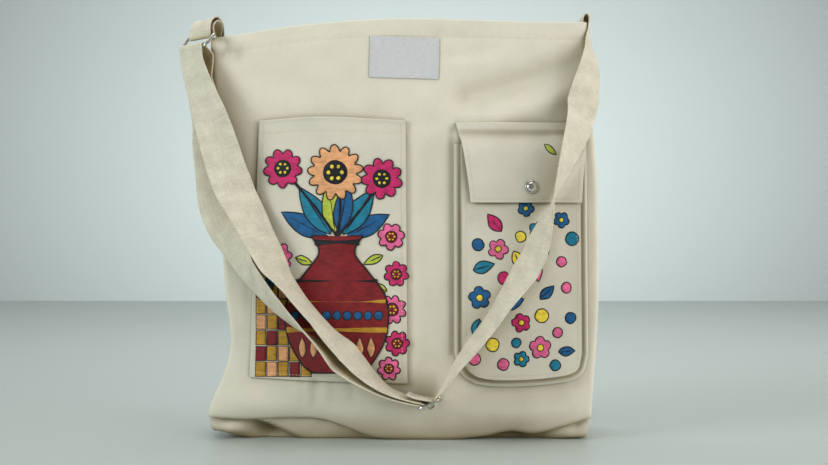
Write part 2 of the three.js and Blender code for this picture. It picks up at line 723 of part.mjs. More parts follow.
function ringTab() {
  const middle = TAB.map((row) => {
    const yaw = THREE.MathUtils.degToRad(row.yaw);
    return { point: vec(row.x, row.y, row.z), width: vec(Math.cos(yaw), -Math.sin(yaw), 0) };
  });
  const half = LAYER / 2 + TAB_SPREAD;
  const layer = (side) =>
    middle.map(({ point, width }, i) => {
      const before = middle[Math.max(i - 1, 0)].point;
      const after = middle[Math.min(i + 1, middle.length - 1)].point;
      const normal = width.clone().cross(after.clone().sub(before)).normalize();
      return { point: point.clone().addScaledVector(normal, side * half), width };
    });
  const ring = ringFrame();
  const bar = [RING_SIZE.tall / 2, 0];
  return ribbon([
    ...layer(-1),
    ...arc(ring, bar, BEND, RING_WRAP.tab, RING_WRAP.end),
    ...layer(1).reverse(),
  ], CELLS.tab);
}

// Closed wire in the shape of a rounded rectangle, long side along x
function wireFrame(length, tall, corner) {
  const p = length / 2 - corner;
  const q = tall / 2 - corner;
  const turns = [[p, q, 0], [-p, q, 90], [-p, -q, 180], [p, -q, 270]];
  const points = turns.flatMap(([x, y, start]) =>
    CELLS.wireTurns.map((step) => {
      const angle = THREE.MathUtils.degToRad(start + step);
      return vec(x + corner * Math.cos(angle), y + corner * Math.sin(angle), 0);
    }),
  );
  return loopTube(points, WIRE, CELLS.wireSides);
}

// Tube round a closed flat loop of points
function loopTube(points, radius, sides) {
  const count = points.length;
  const spots = [];
  const faces = [];
  points.forEach((point, i) => {
    const before = points[(i + count - 1) % count];
    const after = points[(i + 1) % count];
    const run = after.clone().sub(before).normalize();
    const out = vec(run.y, -run.x, 0);
    for (let k = 0; k < sides; k += 1) {
      const angle = (2 * Math.PI * k) / sides;
      const spot = point.clone().addScaledVector(out, radius * Math.cos(angle));
      spots.push(spot.x, spot.y, spot.z + radius * Math.sin(angle));
    }
  });
  for (let i = 0; i < count; i += 1) {
    for (let k = 0; k < sides; k += 1) {
      const next = (i + 1) % count;
      const turn = (k + 1) % sides;
      const a = i * sides + k;
      const b = i * sides + turn;
      const c = next * sides + turn;
      const d = next * sides + k;
      faces.push(a, c, b, a, d, c);
    }
  }
  const geometry = new THREE.BufferGeometry();
  geometry.setAttribute("position", new THREE.Float32BufferAttribute(spots, 3));
  geometry.setIndex(faces);
  return geometry;
}

// Solid of a geometry, and the geometry of a solid, for joins and cuts
function toSolid({ Manifold, Mesh }, geometry) {
  const keys = new Map();
  const points = [];
  const position = geometry.getAttribute("position");
  const renumber = [];
  for (let i = 0; i < position.count; i += 1) {
    const spot = [position.getX(i), position.getY(i), position.getZ(i)];
    const key = spot.map((value) => value.toFixed(4)).join(" ");
    if (!keys.has(key)) {
      keys.set(key, keys.size);
      points.push(...spot);
    }
    renumber.push(keys.get(key));
  }
  const order = geometry.index ? Array.from(geometry.index.array) : renumber.map((_, i) => i);
  const faces = [];
  for (let i = 0; i < order.length; i += 3) {
    const [a, b, c] = [order[i], order[i + 1], order[i + 2]].map((k) => renumber[k]);
    if (a !== b && b !== c && a !== c) faces.push(a, b, c);
  }
  return new Manifold(
    new Mesh({ numProp: 3, vertProperties: new Float32Array(points), triVerts: new Uint32Array(faces) }),
  );
}

function toGeometry(solid) {
  const mesh = solid.getMesh();
  const geometry = new THREE.BufferGeometry();
  const spots = [];
  for (let i = 0; i < mesh.numVert; i += 1) {
    spots.push(...mesh.vertProperties.slice(i * mesh.numProp, i * mesh.numProp + 3));
  }
  geometry.setAttribute("position", new THREE.Float32BufferAttribute(spots, 3));
  geometry.setIndex(Array.from(mesh.triVerts));
  return geometry;
}

// Flap with the hole that the snap's post goes through
function flapWithHole(library) {
  const sheetSolid = toSolid(library, sheet(flapSurface(POCKET_WALL), flapSurface(0), CELLS.flap));
  const { hole, drill } = SNAP;
  const cutter = snapTurning([[0, -drill], [hole, -drill], [hole, drill], [0, drill]]);
  return toGeometry(sheetSolid.subtract(toSolid(library, cutter)));
}

// Put a flat piece of metal, bar along x and its other side along y, in a frame
function place(geometry, frame) {
  const normal = frame.along.clone().cross(frame.second);
  const basis = new THREE.Matrix4().makeBasis(frame.along, frame.second, normal);
  return geometry.applyMatrix4(basis.setPosition(frame.spot(0, 0)));
}

function ringWire() {
  return place(wireFrame(RING_SIZE.length, RING_SIZE.tall, RING_SIZE.corner), ringFrame());
}

function sliderMetal(library) {
  const { length, pitch, corner } = SLIDER_SIZE;
  const frame = toSolid(library, wireFrame(length, 2 * pitch, corner));
  const bar = new THREE.CylinderGeometry(WIRE, WIRE, length, CELLS.wireSides).rotateZ(Math.PI / 2);
  const joined = frame.add(toSolid(library, bar));
  return place(toGeometry(joined), sliderFrame());
}

// Materials
const CLOTH = new THREE.MeshStandardMaterial({ name: "canvas", color: 0xd6d0be, roughness: 0.95 });
const WEBBING = new THREE.MeshStandardMaterial({ name: "webbing", color: 0xd2c8b4, roughness: 0.95 });
const SATIN = new THREE.MeshStandardMaterial({ name: "label", color: 0xf2f0ec, roughness: 0.6 });
const METAL = new THREE.MeshStandardMaterial({
  name: "metal",
  color: 0xd0d2d4,
  roughness: 0.25,
  metalness: 1,
});

const library = await Module();
library.setup();

const PIECES = [
  { name: "front_panel", geometry: frontPanel(), material: CLOTH },
  { name: "back_panel", geometry: backPanel(), material: CLOTH },
  { name: "gusset", geometry: gusset(), material: CLOTH },
  { name: "left_pocket", geometry: patchPocket(), material: CLOTH },
  { name: "right_pocket", geometry: bellowsFront(), material: CLOTH },
  { name: "right_pocket_gusset", geometry: bellowsPleat(), material: CLOTH },
  { name: "pocket_flap", geometry: flapWithHole(library), material: CLOTH },
  { name: "snap_cap", geometry: snapCap(), material: METAL },
  { name: "snap_stud", geometry: snapStud(), material: METAL },
  { name: "label", geometry: label(), material: SATIN },
  { name: "ring_tab", geometry: ringTab(), material: WEBBING },
  { name: "ring", geometry: ringWire(), material: METAL },
  { name: "strap", geometry: strap(), material: WEBBING },
  { name: "slider", geometry: sliderMetal(library), material: METAL },
];

const bag = new THREE.Group();
bag.name = "canvas_bag";
PIECES.forEach(({ name, geometry, material }) => {
  const mesh = new THREE.Mesh(geometry, material);
  mesh.name = name;
  bag.add(mesh);
});

export default bag;
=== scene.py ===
# Canvas shoulder bag: its looks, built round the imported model.
# Tables and surfaces are in millimetres, as in the part; meshes are made in metres.
import math
from types import SimpleNamespace as Values

import bpy
import numpy as np
from mathutils.geometry import delaunay_2d_cdt
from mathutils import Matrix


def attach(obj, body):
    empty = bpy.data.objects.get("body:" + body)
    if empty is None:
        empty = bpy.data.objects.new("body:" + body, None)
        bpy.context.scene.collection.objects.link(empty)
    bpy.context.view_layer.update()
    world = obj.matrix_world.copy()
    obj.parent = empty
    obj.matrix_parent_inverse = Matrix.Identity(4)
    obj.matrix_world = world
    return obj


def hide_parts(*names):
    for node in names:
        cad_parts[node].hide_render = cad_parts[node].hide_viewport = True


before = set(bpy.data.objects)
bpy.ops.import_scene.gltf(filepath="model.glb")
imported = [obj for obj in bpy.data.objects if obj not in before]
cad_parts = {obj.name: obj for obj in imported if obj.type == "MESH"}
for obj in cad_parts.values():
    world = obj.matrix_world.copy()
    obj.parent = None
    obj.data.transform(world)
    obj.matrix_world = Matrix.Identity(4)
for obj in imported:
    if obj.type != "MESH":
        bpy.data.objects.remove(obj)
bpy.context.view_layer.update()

MM = 0.001
TAU = 2 * math.pi


def table(names, *rows):
    """Rows of numbers as named columns."""
    return dict(zip(names.split(), np.array(rows, float).T))


# The photograph's camera: level, in front of the bag, and its picture size in pixels
CAMERA = Values(x=14, y=-1300, z=200, focus=1300, picture=828, sensor=36, clip=(0.05, 50))

# Cloth thicknesses, and the gaps that the part leaves between neighbours
WALL = 1.6
POCKET_WALL = 1.2
PLEAT_WALL = 1.0
LABEL_WALL = 0.6
GAP = 0.3
SEAM_ROLL = 3.0  # radius of a panel's edge where it turns into its seam
SEAM_INSET = 1.6  # the side strip starts this far inside the panels' seams
BASE_INSET = 5.5  # and this far along the base
BASE_INSET_BLEND = 0.03  # share of the base over which that is reached

# The bag, one row per height: side seams, half depth at the seams, swell of the
# front and back between the seams, and how far the side strip is tucked in
SECTIONS = table(
    "height left right seam swell tuck",
    (0, -176, 181, 44, 6, -1),
    (17, -184, 184, 45, 8, -2),
    (33, -182, 185, 46, 10, -1),
    (65, -168.5, 187.5, 45, 11, 2),
    (96, -162.5, 190, 43, 10, 5),
    (150, -169, 192.5, 39.5, 9, 7),
    (250, -174.5, 192, 32.5, 7, 7),
    (330, -181, 186.5, 26.5, 5, 4),
    (370, -184.5, 184.4, 23, 4, 1),
    (415, -185, 182.8, 20.5, 3, 0),
)

# Heights from the left seam (-1) to the right seam (+1): the rim and the lower seams
RIM = table(
    "across height",
    (-1.0, 391.5), (-0.85, 395), (-0.65, 400.8), (-0.43, 405.5), (-0.2, 408.7),
    (0.0, 410), (0.2, 409.7), (0.5, 408.2), (0.75, 407.3), (1.0, 407),
)
FRONT_HEM = table(
    "across height",
    (-1.0, 22), (-0.83, 20.5), (-0.61, 22), (-0.43, 21), (-0.3, 14), (-0.15, 3), (0.0, 1.2),
    (0.27, 1), (0.45, 4), (0.59, 9), (0.72, 6.5), (0.87, 13), (1.0, 21),
)
BACK_HEM = table(
    "across height",
    (-1.0, 14), (-0.65, 10), (-0.2, 4), (0.2, 3), (0.75, 8), (1.0, 14),
)
HEM_ROUND = 15  # height over which a panel's swell starts above its lower seam
BELLY = 2.6  # power of the swell across a panel
FOLD_FADE = 8  # power with which folds die out at the side seams
FLOOR_LIFT = {-1: 8.0, 1: 1.5}  # how far the base's left and right end stand off the floor
FLOOR_FLAT = 0.8  # share of the base's half length that lies flat
FLOOR_BLEND = 0.1  # share of the strip's width that rises to a seam
CORNER = (2, 14)  # radius of the strip's lower corners at the seams and between them
PANEL_SIZE = (372, 404)
# The strip's size, the width that its ripples are drawn on, and the shares of its length in
# a side, a corner and the base
STRIP = Values(length=1150, width=88, drawn=90, side=0.34, corner=0.012, base=0.296)
# Where the strip ripples and where its front swells: shares of its length and width
STRIP_REACH = Values(ripple=0.16, front=0.155, start=0.012, full=0.1, end=0.17)
# Swellings and hollows of the strip's front under the panel: middle, size and how far out
BASE_SWELLS = table(
    "x z wide tall out",
    (-163, 10, 22, 8, 10),
    (-132, 12, 15, 12, -12),
    (-114, 15, 14, 9, -9),
    (-60, 8, 24, 8, 2),
    (84, 4, 20, 6, -5),
    (114, 6, 18, 6, -8),
    (164, 3, 24, 11, 9),
)
BASE_CREASE = {"x0": -127, "z0": 14, "x1": -98, "z1": 1, "blend": 2.0, "out": 5, "reach": 20}

# Dents and swellings, each along a line: x0, z0, x1, z1, width, depth
FRONT_FOLDS = (
    (70, 332, 188, 368, 15, -9.5),
    (92, 310, 170, 336, 13, 4.0),
    (-186, 384, -160, 372, 9, -4.0),
    (-178, 366, -158, 388, 6, 2.5),
    (30, 80, 33, 280, 13, -2.5),
    (-172, 97, -160, 100, 16, -5.0),
    (-182, 36, -110, 30, 13, 4.0),
    (36, 394, 60, 391, 7, -1.6),
    (48, 372, 92, 379, 6, -0.8),
    (52, 362, 84, 366, 5, 0.6),
    (-150, 352, -40, 338, 14, -0.9),
    (-60, 330, 30, 322, 12, 0.7),
    (14, 300, 52, 312, 9, -0.8),
    (-99, 57, -97, 40, 3.5, 0.8),
    (-88, 57, -87, 38, 3.5, 0.9),
    (-80, 57, -80, 36, 3.5, -0.8),
    (-70, 57, -69, 40, 3.5, 0.7),
    (-46, 56, -44, 40, 4, -0.6),
    (60, 40, 150, 46, 12, -1.2),
    (100, 22, 172, 34, 10, 1.6),
    (-148, 58, -141, 312, 4, -0.8),
    (12, 54, 10, 312, 4, -0.8),
    (-148, 56, 10, 51, 4, -0.8),
    (54, 309, 181, 309, 1.8, -0.9),
    (51.5, 84, 51.5, 300, 3, -2.2),
    (66, 50, 168, 54, 3.5, -1.6),
)
BACK_FOLDS = (
    (-60, 300, 90, 330, 40, -3.0),
    (-120, 80, 100, 70, 35, 3.0),
    (-150, 200, -60, 170, 22, -1.5),
    (60, 220, 160, 190, 20, 1.3),
    (-20, 130, 130, 150, 18, -1.2),
)
HEM = Values(down=17, width=1.4, depth=0.5, layer=1.4, fade=(3.5, 1.5))
PUCKER = Values(high=0.22, pitch=7.5, width=6)
RIM_LINE = Values(down=3.4, width=0.8, depth=0.6, start=52, blend=16)

# Patch pocket, bellows pocket, its side strip, its flap, the snap and the label
PATCH = Values(bottom_left=-144, bottom_right=8, top_left=-137, top_right=6, slack=3, off=1.1)
PATCH_SIZE = Values(foot=58, width=150, tall=252)
PATCH_ENDS = table("across bottom top", (0, 61, 309), (0.4, 58, 312.5), (1, 55.5, 309))
PATCH_HEM = Values(down=13.5, width=1.2, depth=0.35, lip=0.5, lip_width=1.8)
PATCH_FOLDS = ((-40, 186, 2, 178, 4, 0.8), (-36, 176, 0, 170, 4, -0.7))
PATCH_CALM = 0.8  # share of its ripples and folds that is kept
BELLOWS = Values(left=60, right=174, top=286, top_stand=8, stand=11.5, swell=2)
BELLOWS_SIZE = (114, 224)
BELLOWS_CLOSING = 0.7  # share of its height above which it closes towards the panel
BELLOWS_SIDE = 0.32  # share of its edge in each side
BELLOWS_FOLDS = ((70, 212, 140, 208, 9, -1.4), (66, 190, 150, 186, 8, 1.0))
BELLOWS_CALM = 0.3  # the ripples die out near its edges
BELLOWS_BOTTOM = table(
    "across height",
    (0, 86), (0.025, 74), (0.08, 66), (0.16, 62), (0.32, 60), (0.6, 60.5),
    (0.85, 63.6), (0.93, 66.6), (0.975, 71.5), (1, 84),
)
PLEAT = table(
    "across out rise",
    (0, 1, 0),
    (0.2, 6.3, 0.08),
    (0.36, 7, 0.26),
    (0.48, 5.2, 0.38),
    (0.6, 2.6, 0.22),
    (0.72, 0.6, 0.12),
    (0.86, -1.6, 0.45),
    (1, 0, 1),
)
PLEAT_BACK = 1.1  # its last edge stays this far behind the pocket's sheet
PLEAT_SIZE = (560, 18)
PLEAT_STEP = 0.015  # share of the pocket's edge over which its direction is taken
FLAP = table(
    "up left right height stand",
    (0, 68, 175, 228.5, 16.2),
    (0.25, 66, 176, 247, 16.6),
    (0.5, 63, 178, 268, 15.6),
    (0.66, 61, 179, 280, 13.2),
    (0.78, 59.5, 179.5, 288.5, 8.2),
    (0.86, 57.5, 180, 294.5, 0.9),
    (0.93, 56, 180.5, 300, 2.6),
    (1, 54, 181, 307, 0.9),
)
FLAP_SIZE = (118, 84)
FLAP_FOLDS = ((78, 262, 120, 250, 10, -0.9),)
FLAP_CALM = 0.75  # its ripples die out above this share of its height
# Turned upper edges: extra thickness, the sheet's height, and where the fold fades
TURNED = {"patch": (1.0, 252, 3.2, 1.6), "flap": (0.9, 84, 2.6, 1.2)}
SNAP = Values(x=126.5, height=243.5, post=2.5, reach=0.3, step=2, sides=48)
SNAP_CAP = table(
    "radius height",
    (5.6, 0.0), (6.1, 0.12), (6.3, 0.5), (6.15, 0.9), (5.75, 1.15), (5.2, 1.12), (4.8, 0.98),
    (4.45, 1.05), (4.1, 1.35), (3.3, 1.8), (2.2, 2.07), (1.1, 2.18), (0.0, 2.2),
)
LABEL = Values(x=4.5, height=371, width=68, tall=41, turn=-1.5, off=0.4, seam=1.6)

WAVES = Values(count=7, pitch=(0.7, 1.5))  # that a ripple is the sum of
# Seeded ripples of the cloth: height, size and seed
RIPPLES = {
    "front": (0.75, 120, 5), "front_fine": (0.22, 42, 6),
    "back": (0.75, 120, 9), "back_fine": (0.22, 42, 10),
    "hem": (1.5, 60, 31), "side": (0.8, 70, 41), "base": (0.8, 30, 43),
    "patch": (0.5, 46, 17), "bellows": (0.6, 50, 23), "flap": (0.45, 48, 29),
}

# Distance between the points of each piece's mesh, and the close rows at the edges of cloth
STEP = {
    "front": 2.6, "back": 3.4, "strip": 2.8, "pocket": 2.0, "pleat": 1.6, "flap": 1.8, "label": 1.6,
    "strap": 2.2, "tab": 1.6,
}
EDGE_MARKS = (0, 0.1, 0.35, 0.8, 1.6)
STRIP_MARKS = (*EDGE_MARKS, *np.arange(2.4, 12, 0.8))
EDGE_THIN = 0.01  # keeps the rim of a sheet from closing to a line
SMALL = 0.05  # least radius of a ring of points, for the same reason

# Webbing, and the metal that it runs through
WEB = Values(width=38, thick=1.6)
WEB_RING = Values(points=19, reach=0.995, thin=0.02, apart=10)
WIRE = 1.5  # radius
WIRE_SIDES = 20
BEND_POINTS = 9  # points in a rounded corner or end
BEND = WIRE + GAP + WEB.thick / 2
LAYER = WEB.thick + 2 * GAP
RING = Values(at=(-199.3, -20.1, 387.9), bar=(0.68, -0.733, 0), other=(0.471, 0.437, 0.767))
RING_SIZE = Values(length=44, tall=16, corner=3)
RING_WRAP = Values(strap=-130, tab=230, end=50)
SLIDER = Values(at=(30, -85, 40.9), bar=(0.07, 0.995, -0.05), other=(0.9, -0.06, 0.39))
SLIDER_SIZE = Values(length=46, pitch=11, corner=4)
SLIDER_WRAP = Values(entry=-35, lead=9, left=60, end=60)
SLIDER_TAIL = ((-11, 10.5), (-17, 16.5))
BEND_STEP = 15  # degrees between the points of a bend

# Course of the strap from the top down; turn is about its own length, 0 facing front
STRAP_RIGHT = table(
    "x y z turn",
    (187.9, -2, 402, -88), (189.1, -7, 391, -80), (189.7, -14, 381, -67), (189, -22, 371, -58),
    (186.3, -28.5, 358.5, -50), (183.8, -32, 348, -43), (181.2, -37, 338, -36), (178.4, -40, 328, -31),
    (175.7, -43, 318, -32), (169.5, -60, 298, -44), (159, -73, 271, -60), (149, -79, 243, -77),
    (144, -79, 227, -88), (138, -79, 210, -105), (132, -79, 193, -118), (127, -79, 179, -122),
    (118, -80, 163, -126), (106, -82, 145, -116), (96, -84, 131, -110), (87, -85, 117, -107),
    (68, -89, 93, -105), (57, -89.5, 79, -100), (46.5, -90, 64, -94), (40.8, -88.5, 55.5, -90),
)
STRAP_FRONT = table(
    "x y z turn",
    (-204.4, -24.8, 373, 47), (-202.4, -27.4, 362, 46), (-197, -33, 346, 41), (-190, -39, 328, 33),
    (-182, -45, 308, 20), (-174, -48, 284, 8), (-164, -52, 255, 0), (-155, -56, 235, -24),
    (-144, -61, 216, -35), (-135, -66, 199, -43), (-126, -70, 182.5, -46), (-118, -73, 168, -54),
    (-110, -75, 157, -68), (-102, -76, 147, -73), (-92, -77, 134, -76), (-78, -78.5, 118, -77),
    (-65, -80, 103, -73), (-49, -81, 88, -64), (-37.5, -81, 75, -68), (-24.5, -81, 62, -77),
    (-9, -81.5, 51, -86),
)
STRAP_BACK = table(
    "x y z turn",
    (-195.2, -15.9, 373, 48), (-195, -17, 362, 48), (-196, -22, 345, 41), (-186, -34, 309, 22),
    (-183.5, -38, 285, 14), (-180, -41, 256, 12), (-177, -45, 231, 13), (-169, -53, 209, 18),
    (-160, -59, 193, 33), (-152.5, -64, 179.5, 46), (-144, -69, 164, 56), (-128.5, -73, 145, 63),
    (-116, -76, 131, 67), (-96, -78, 112, 78), (-72, -80, 93, 98), (-56.5, -81, 78, 112),
    (-41, -81, 67, 110), (-24, -80.5, 55.5, 101), (-8, -81, 46.5, 93),
)
STRAP_ROOT = (
    (180, 0, 370),
    (179.8, 0, 398),
    (180.3, 0, 410.5),
    (182.1, 0, 415),
    (184.7, 0, 416),
    (187, -0.3, 412.5),
)
TAB = table(
    "x y z yaw",
    (-176.3, 2, 362, 90),
    (-176.8, 2, 384, 88),
    (-180.1, 0, 396.8, 80),
    (-185.8, -5, 405.4, 66),
    (-191.3, -11.5, 408.5, 54),
    (-195, -16, 403.3, 51),
)
TAB_SPREAD = 1.2  # extra gap between the tab's two layers

# Colours, linear
CREAM = (0.69, 0.66, 0.555)
WEB_CREAM = (0.685, 0.645, 0.52)
THREAD = (0.74, 0.70, 0.57)
POCKET_CREAM = (0.63, 0.605, 0.51)
# Painted shade: ambient occlusion darkens the cloth in creases, along seams, beside other pieces and near
# the floor. Its reach and samples, the openness over which the darkening fades in, then the tints of that
# painted shade on canvas and on webbing
CREASE = Values(reach=30, samples=8, stops=(0.13, 0.96))
CANVAS_CREASE_SHADE = (0.35, 0.27, 0.11)
WEB_CREASE_SHADE = (0.82, 0.70, 0.46)
PAINTS = {
    "red": (0.19, 0.012, 0.016),
    "blue": (0.012, 0.10, 0.26),
    "teal": (0.012, 0.19, 0.30),
    "mustard": (0.46, 0.25, 0.025),
    "peach": (0.72, 0.36, 0.17),
    "magenta": (0.52, 0.022, 0.13),
    "pink": (0.73, 0.13, 0.30),
    "yellow": (0.82, 0.62, 0.06),
    "lime": (0.42, 0.50, 0.06),
    "black": (0.012, 0.012, 0.016),
}
PAINT_NAMES = list(PAINTS)
PAINT_LIFT = Values(cloth=0.12, step=0.035)


# Smooth curves and swells

def along(rows, key, name, at):
    """One column of a table at places along another, on a smooth curve through the rows."""
    places, values = rows[key], rows[name]
    at = np.clip(at, places[0], places[-1])
    row = np.clip(np.searchsorted(places, at) - 1, 0, len(places) - 2)
    slope = np.empty(len(places))
    slope[1:-1] = (values[2:] - values[:-2]) / (places[2:] - places[:-2])
    slope[0] = (values[1] - values[0]) / (places[1] - places[0])
    slope[-1] = (values[-1] - values[-2]) / (places[-1] - places[-2])
    span = places[row + 1] - places[row]
    t = (at - places[row]) / span
    ends = values[row] + (values[row + 1] - values[row]) * t * t * (3 - 2 * t)
    return ends + t * (1 - t) * span * ((1 - t) * slope[row] - t * slope[row + 1])


def section(name, z):
    return along(SECTIONS, "height", name, z)


def edge(rows, across):
    return along(rows, "across", "height", across)


def mix(a, b, t):
    return a + (b - a) * t


def smooth(x, low, high):
    t = np.clip((x - low) / (high - low), 0, 1)
    return t * t * (3 - 2 * t)


def bell(x, width):
    return np.exp(-((x / width) ** 2))


def wander(x, z, size, seed):
    """Smooth random swell of about one, in bumps of about the given size."""
    random = np.random.default_rng(seed)
    total = 0.0
    slow, fast = WAVES.pitch
    for turn, phase, pitch in random.uniform((0, 0, slow), (TAU, TAU, fast), (WAVES.count, 3)):
        total = total + np.sin((x * np.cos(turn) + z * np.sin(turn)) * TAU * pitch / size + phase)
    return total / math.sqrt(WAVES.count)


def ripple(name, x, z):
    high, size, seed = RIPPLES[name]
    return high * wander(x, z, size, seed)


def fold_at(folds, x, z):
    """Sum of the folds near a point, each fading out away from its line."""
    total = 0.0
    for x0, z0, x1, z1, width, depth in folds:
        dx, dz = x1 - x0, z1 - z0
        near = np.clip(((x - x0) * dx + (z - z0) * dz) / (dx * dx + dz * dz), 0, 1)
        away = np.hypot(x - x0 - near * dx, z - z0 - near * dz)
        total = total + depth * bell(away, width)
    return total


# The bag's own surfaces

def across_at(x, z):
    left, right = section("left", z), section("right", z)
    return np.clip((2 * x - left - right) / (right - left), -1, 1)


def panel_depth(name, folds, hem, x, z):
    """Distance of a panel's outer face from the middle of the bag."""
    across = across_at(x, z)
    belly = 1 - np.abs(across) ** BELLY
    rise = 1 - np.exp(-np.maximum(z - edge(hem, across), 0) / HEM_ROUND)
    slack = ripple(name, x, z) + ripple(name + "_fine", x, z)
    fold = (fold_at(folds, x, z) + slack) * (1 - across**FOLD_FADE) * rise
    return section("seam", z) + GAP + WALL + section("swell", z) * belly * rise + fold


def hem_line(x, z):
    """Groove of the hem's stitches, with its small puckers, and the line under the rim."""
    down = edge(RIM, across_at(x, z)) - z
    stitch = down - HEM.down
    pucker = PUCKER.high * np.sin(x * TAU / PUCKER.pitch + ripple("hem", x, z))
    line = RIM_LINE.depth * bell(down - RIM_LINE.down, RIM_LINE.width)
    line = line * smooth(x, RIM_LINE.start, RIM_LINE.start + RIM_LINE.blend)
    return HEM.depth * bell(stitch, HEM.width) + pucker * bell(stitch, PUCKER.width) + line


def front_at(x, z):
    return hem_line(x, z) - panel_depth("front", FRONT_FOLDS, FRONT_HEM, x, z)


def back_at(x, z):
    return panel_depth("back", BACK_FOLDS, BACK_HEM, x, z) - hem_line(x, z)


def on_front(x, z, off):
    x, z = np.broadcast_arrays(x, z)
    return np.stack([x, front_at(x, z) - off, z], -1)


def patch_off(x, z):
    """Height of the patch pocket's inner face off the panel."""
    t = np.clip((z - PATCH_SIZE.foot) / PATCH_SIZE.tall, 0, 1)
    left = mix(PATCH.bottom_left, PATCH.top_left, t)
    right = mix(PATCH.bottom_right, PATCH.top_right, t)
    s = np.clip((x - left) / (right - left), 0, 1)
    down = along(PATCH_ENDS, "across", "top", s) - z
    belly = np.sin(math.pi * s)
    folds = ripple("patch", x, z) * belly * np.sin(math.pi * t) + fold_at(PATCH_FOLDS, x, z)
    groove = PATCH_HEM.depth * bell(down - PATCH_HEM.down, PATCH_HEM.width)
    lip = PATCH_HEM.lip * bell(down, PATCH_HEM.lip_width)
    return PATCH.off + PATCH.slack * belly * smooth(t, 0, 1) + folds * PATCH_CALM - groove + lip


def bellows_stand(s, t):
    swell = BELLOWS.swell * np.sin(math.pi * s) * np.sin(math.pi * t)
    return mix(BELLOWS.stand, BELLOWS.top_stand, smooth(t, BELLOWS_CLOSING, 1)) + swell


def bellows_off(x, z):
    """Height of the bellows pocket's front sheet off the panel."""
    s = np.clip((x - BELLOWS.left) / (BELLOWS.right - BELLOWS.left), 0, 1)
    low = edge(BELLOWS_BOTTOM, s)
    t = np.clip((z - low) / (BELLOWS.top - low), 0, 1)
    belly = np.sin(math.pi * s) * np.sin(math.pi * t)
    folds = ripple("bellows", x, z) * belly + fold_at(BELLOWS_FOLDS, x, z)
    return bellows_stand(s, t) + folds * smooth(belly, 0, BELLOWS_CALM)


def flap_off(x, z):
    """Height of the flap's inner face off the panel."""
    up = along(FLAP, "height", "up", z)
    folds = ripple("flap", x, z) + fold_at(FLAP_FOLDS, x, z)
    return along(FLAP, "up", "stand", up) + folds * smooth(up, 1, FLAP_CALM)


# Meshes

def lengths(points):
    """Distance of each point from the first, along the points."""
    return np.concatenate([[0], np.cumsum(np.linalg.norm(np.diff(points, axis=0), axis=1))])


def make(name, points, faces, uv, material):
    """Object of a mesh, from points in millimetres and texture places in metres."""
    mesh = bpy.data.meshes.new(name)
    mesh.from_pydata((np.asarray(points) * MM).tolist(), [], [list(face) for face in faces])
    layer = mesh.uv_layers.new(name="cloth")
    corner = np.zeros(len(mesh.loops), np.int32)
    mesh.loops.foreach_get("vertex_index", corner)
    layer.data.foreach_set("uv", np.asarray(uv, np.float32)[corner].ravel())
    mesh.polygons.foreach_set("use_smooth", np.ones(len(mesh.polygons), bool))
    mesh.materials.append(material)
    mesh.update()
    piece = bpy.data.objects.new(name, mesh)
    bpy.context.scene.collection.objects.link(piece)
    return piece


def marks(length, step, fine):
    """Places along a side as shares of it: close together at both ends, even between."""
    fine = np.array(fine)
    inner = np.linspace(fine[-1], length - fine[-1], max(3, round(length / step)))
    return np.concatenate([fine[:-1], inner, length - fine[-2::-1]]) / length


def normals(points):
    return unit(np.cross(np.gradient(points, axis=1), np.gradient(points, axis=0)))


def quads(spot):
    return np.stack([spot[:-1, :-1], spot[:-1, 1:], spot[1:, 1:], spot[1:, :-1]], -1).reshape(-1, 4)


def cloth(name, middle, size, thick, step, material, ends=EDGE_MARKS):
    """Closed sheet with soft round edges about a middle surface over the unit square."""
    width, height = size
    S, T = np.meshgrid(marks(width, step, EDGE_MARKS), marks(height, step, ends))
    points = middle(S, T)
    near = np.minimum(np.minimum(S, 1 - S) * width, np.minimum(T, 1 - T) * height)
    half = thick(S, T) / 2 if callable(thick) else np.full(S.shape, thick / 2)
    half = half * np.sqrt(np.maximum(1 - (1 - np.clip(near / half, 0, 1)) ** 2, EDGE_THIN))
    lift = normals(points) * half[..., None]
    spot = np.arange(S.size).reshape(S.shape)
    ring = np.concatenate([spot[0, :-1], spot[:-1, -1], spot[-1, :0:-1], spot[:0:-1, 0]])
    ahead = np.roll(ring, -1)
    rim = np.stack([ring + S.size, ahead + S.size, ahead, ring], -1)
    faces = np.concatenate([quads(spot), quads(spot + S.size)[:, ::-1], rim])
    both = np.concatenate([(points + lift).reshape(-1, 3), (points - lift).reshape(-1, 3)])
    uv = np.stack([S * width, T * height], -1).reshape(-1, 2) * MM
    return make(name, both, faces, np.concatenate([uv, uv]), material)


def ring_faces(count, sides, closed=False):
    """Faces through a row of equal rings, capped at both ends unless it closes on itself."""
    spot = np.arange(count * sides).reshape(count, sides)
    spot = np.concatenate([spot, spot[:, :1]], 1)
    if closed:
        return quads(np.concatenate([spot, spot[:1]])).tolist()
    return quads(spot).tolist() + [spot[0, :0:-1].tolist(), spot[-1, :-1].tolist()]


def tube(name, rings, uv, material, closed=False):
    faces = ring_faces(*rings.shape[:2], closed)
    return make(name, rings.reshape(-1, 3), faces, uv.reshape(-1, 2), material)


def lathe(name, at, frame_axes, heights, radii, sides, material):
    """Round piece about an axis, from its heights along it and its radii."""
    axis, first, second = frame_axes
    turn = np.linspace(0, TAU, sides, endpoint=False)
    spread = np.cos(turn)[:, None] * first + np.sin(turn)[:, None] * second
    radii = np.maximum(radii, SMALL)
    shape = at + heights[:, None, None] * axis + radii[:, None, None] * spread
    return tube(name, shape, np.stack(np.meshgrid(turn, heights), -1) * MM, material)


# Bag panels

def rolled(share, length, ends):
    """Flat place along a side, as a share of its flat part, and the angle of its rolled ends."""
    arc = SEAM_ROLL * math.pi / 2
    low, high = arc * ends[0], length - arc * ends[1]
    flat = np.clip(share * length, low, high)
    return (flat - low) / (high - low), (share * length - flat) / SEAM_ROLL


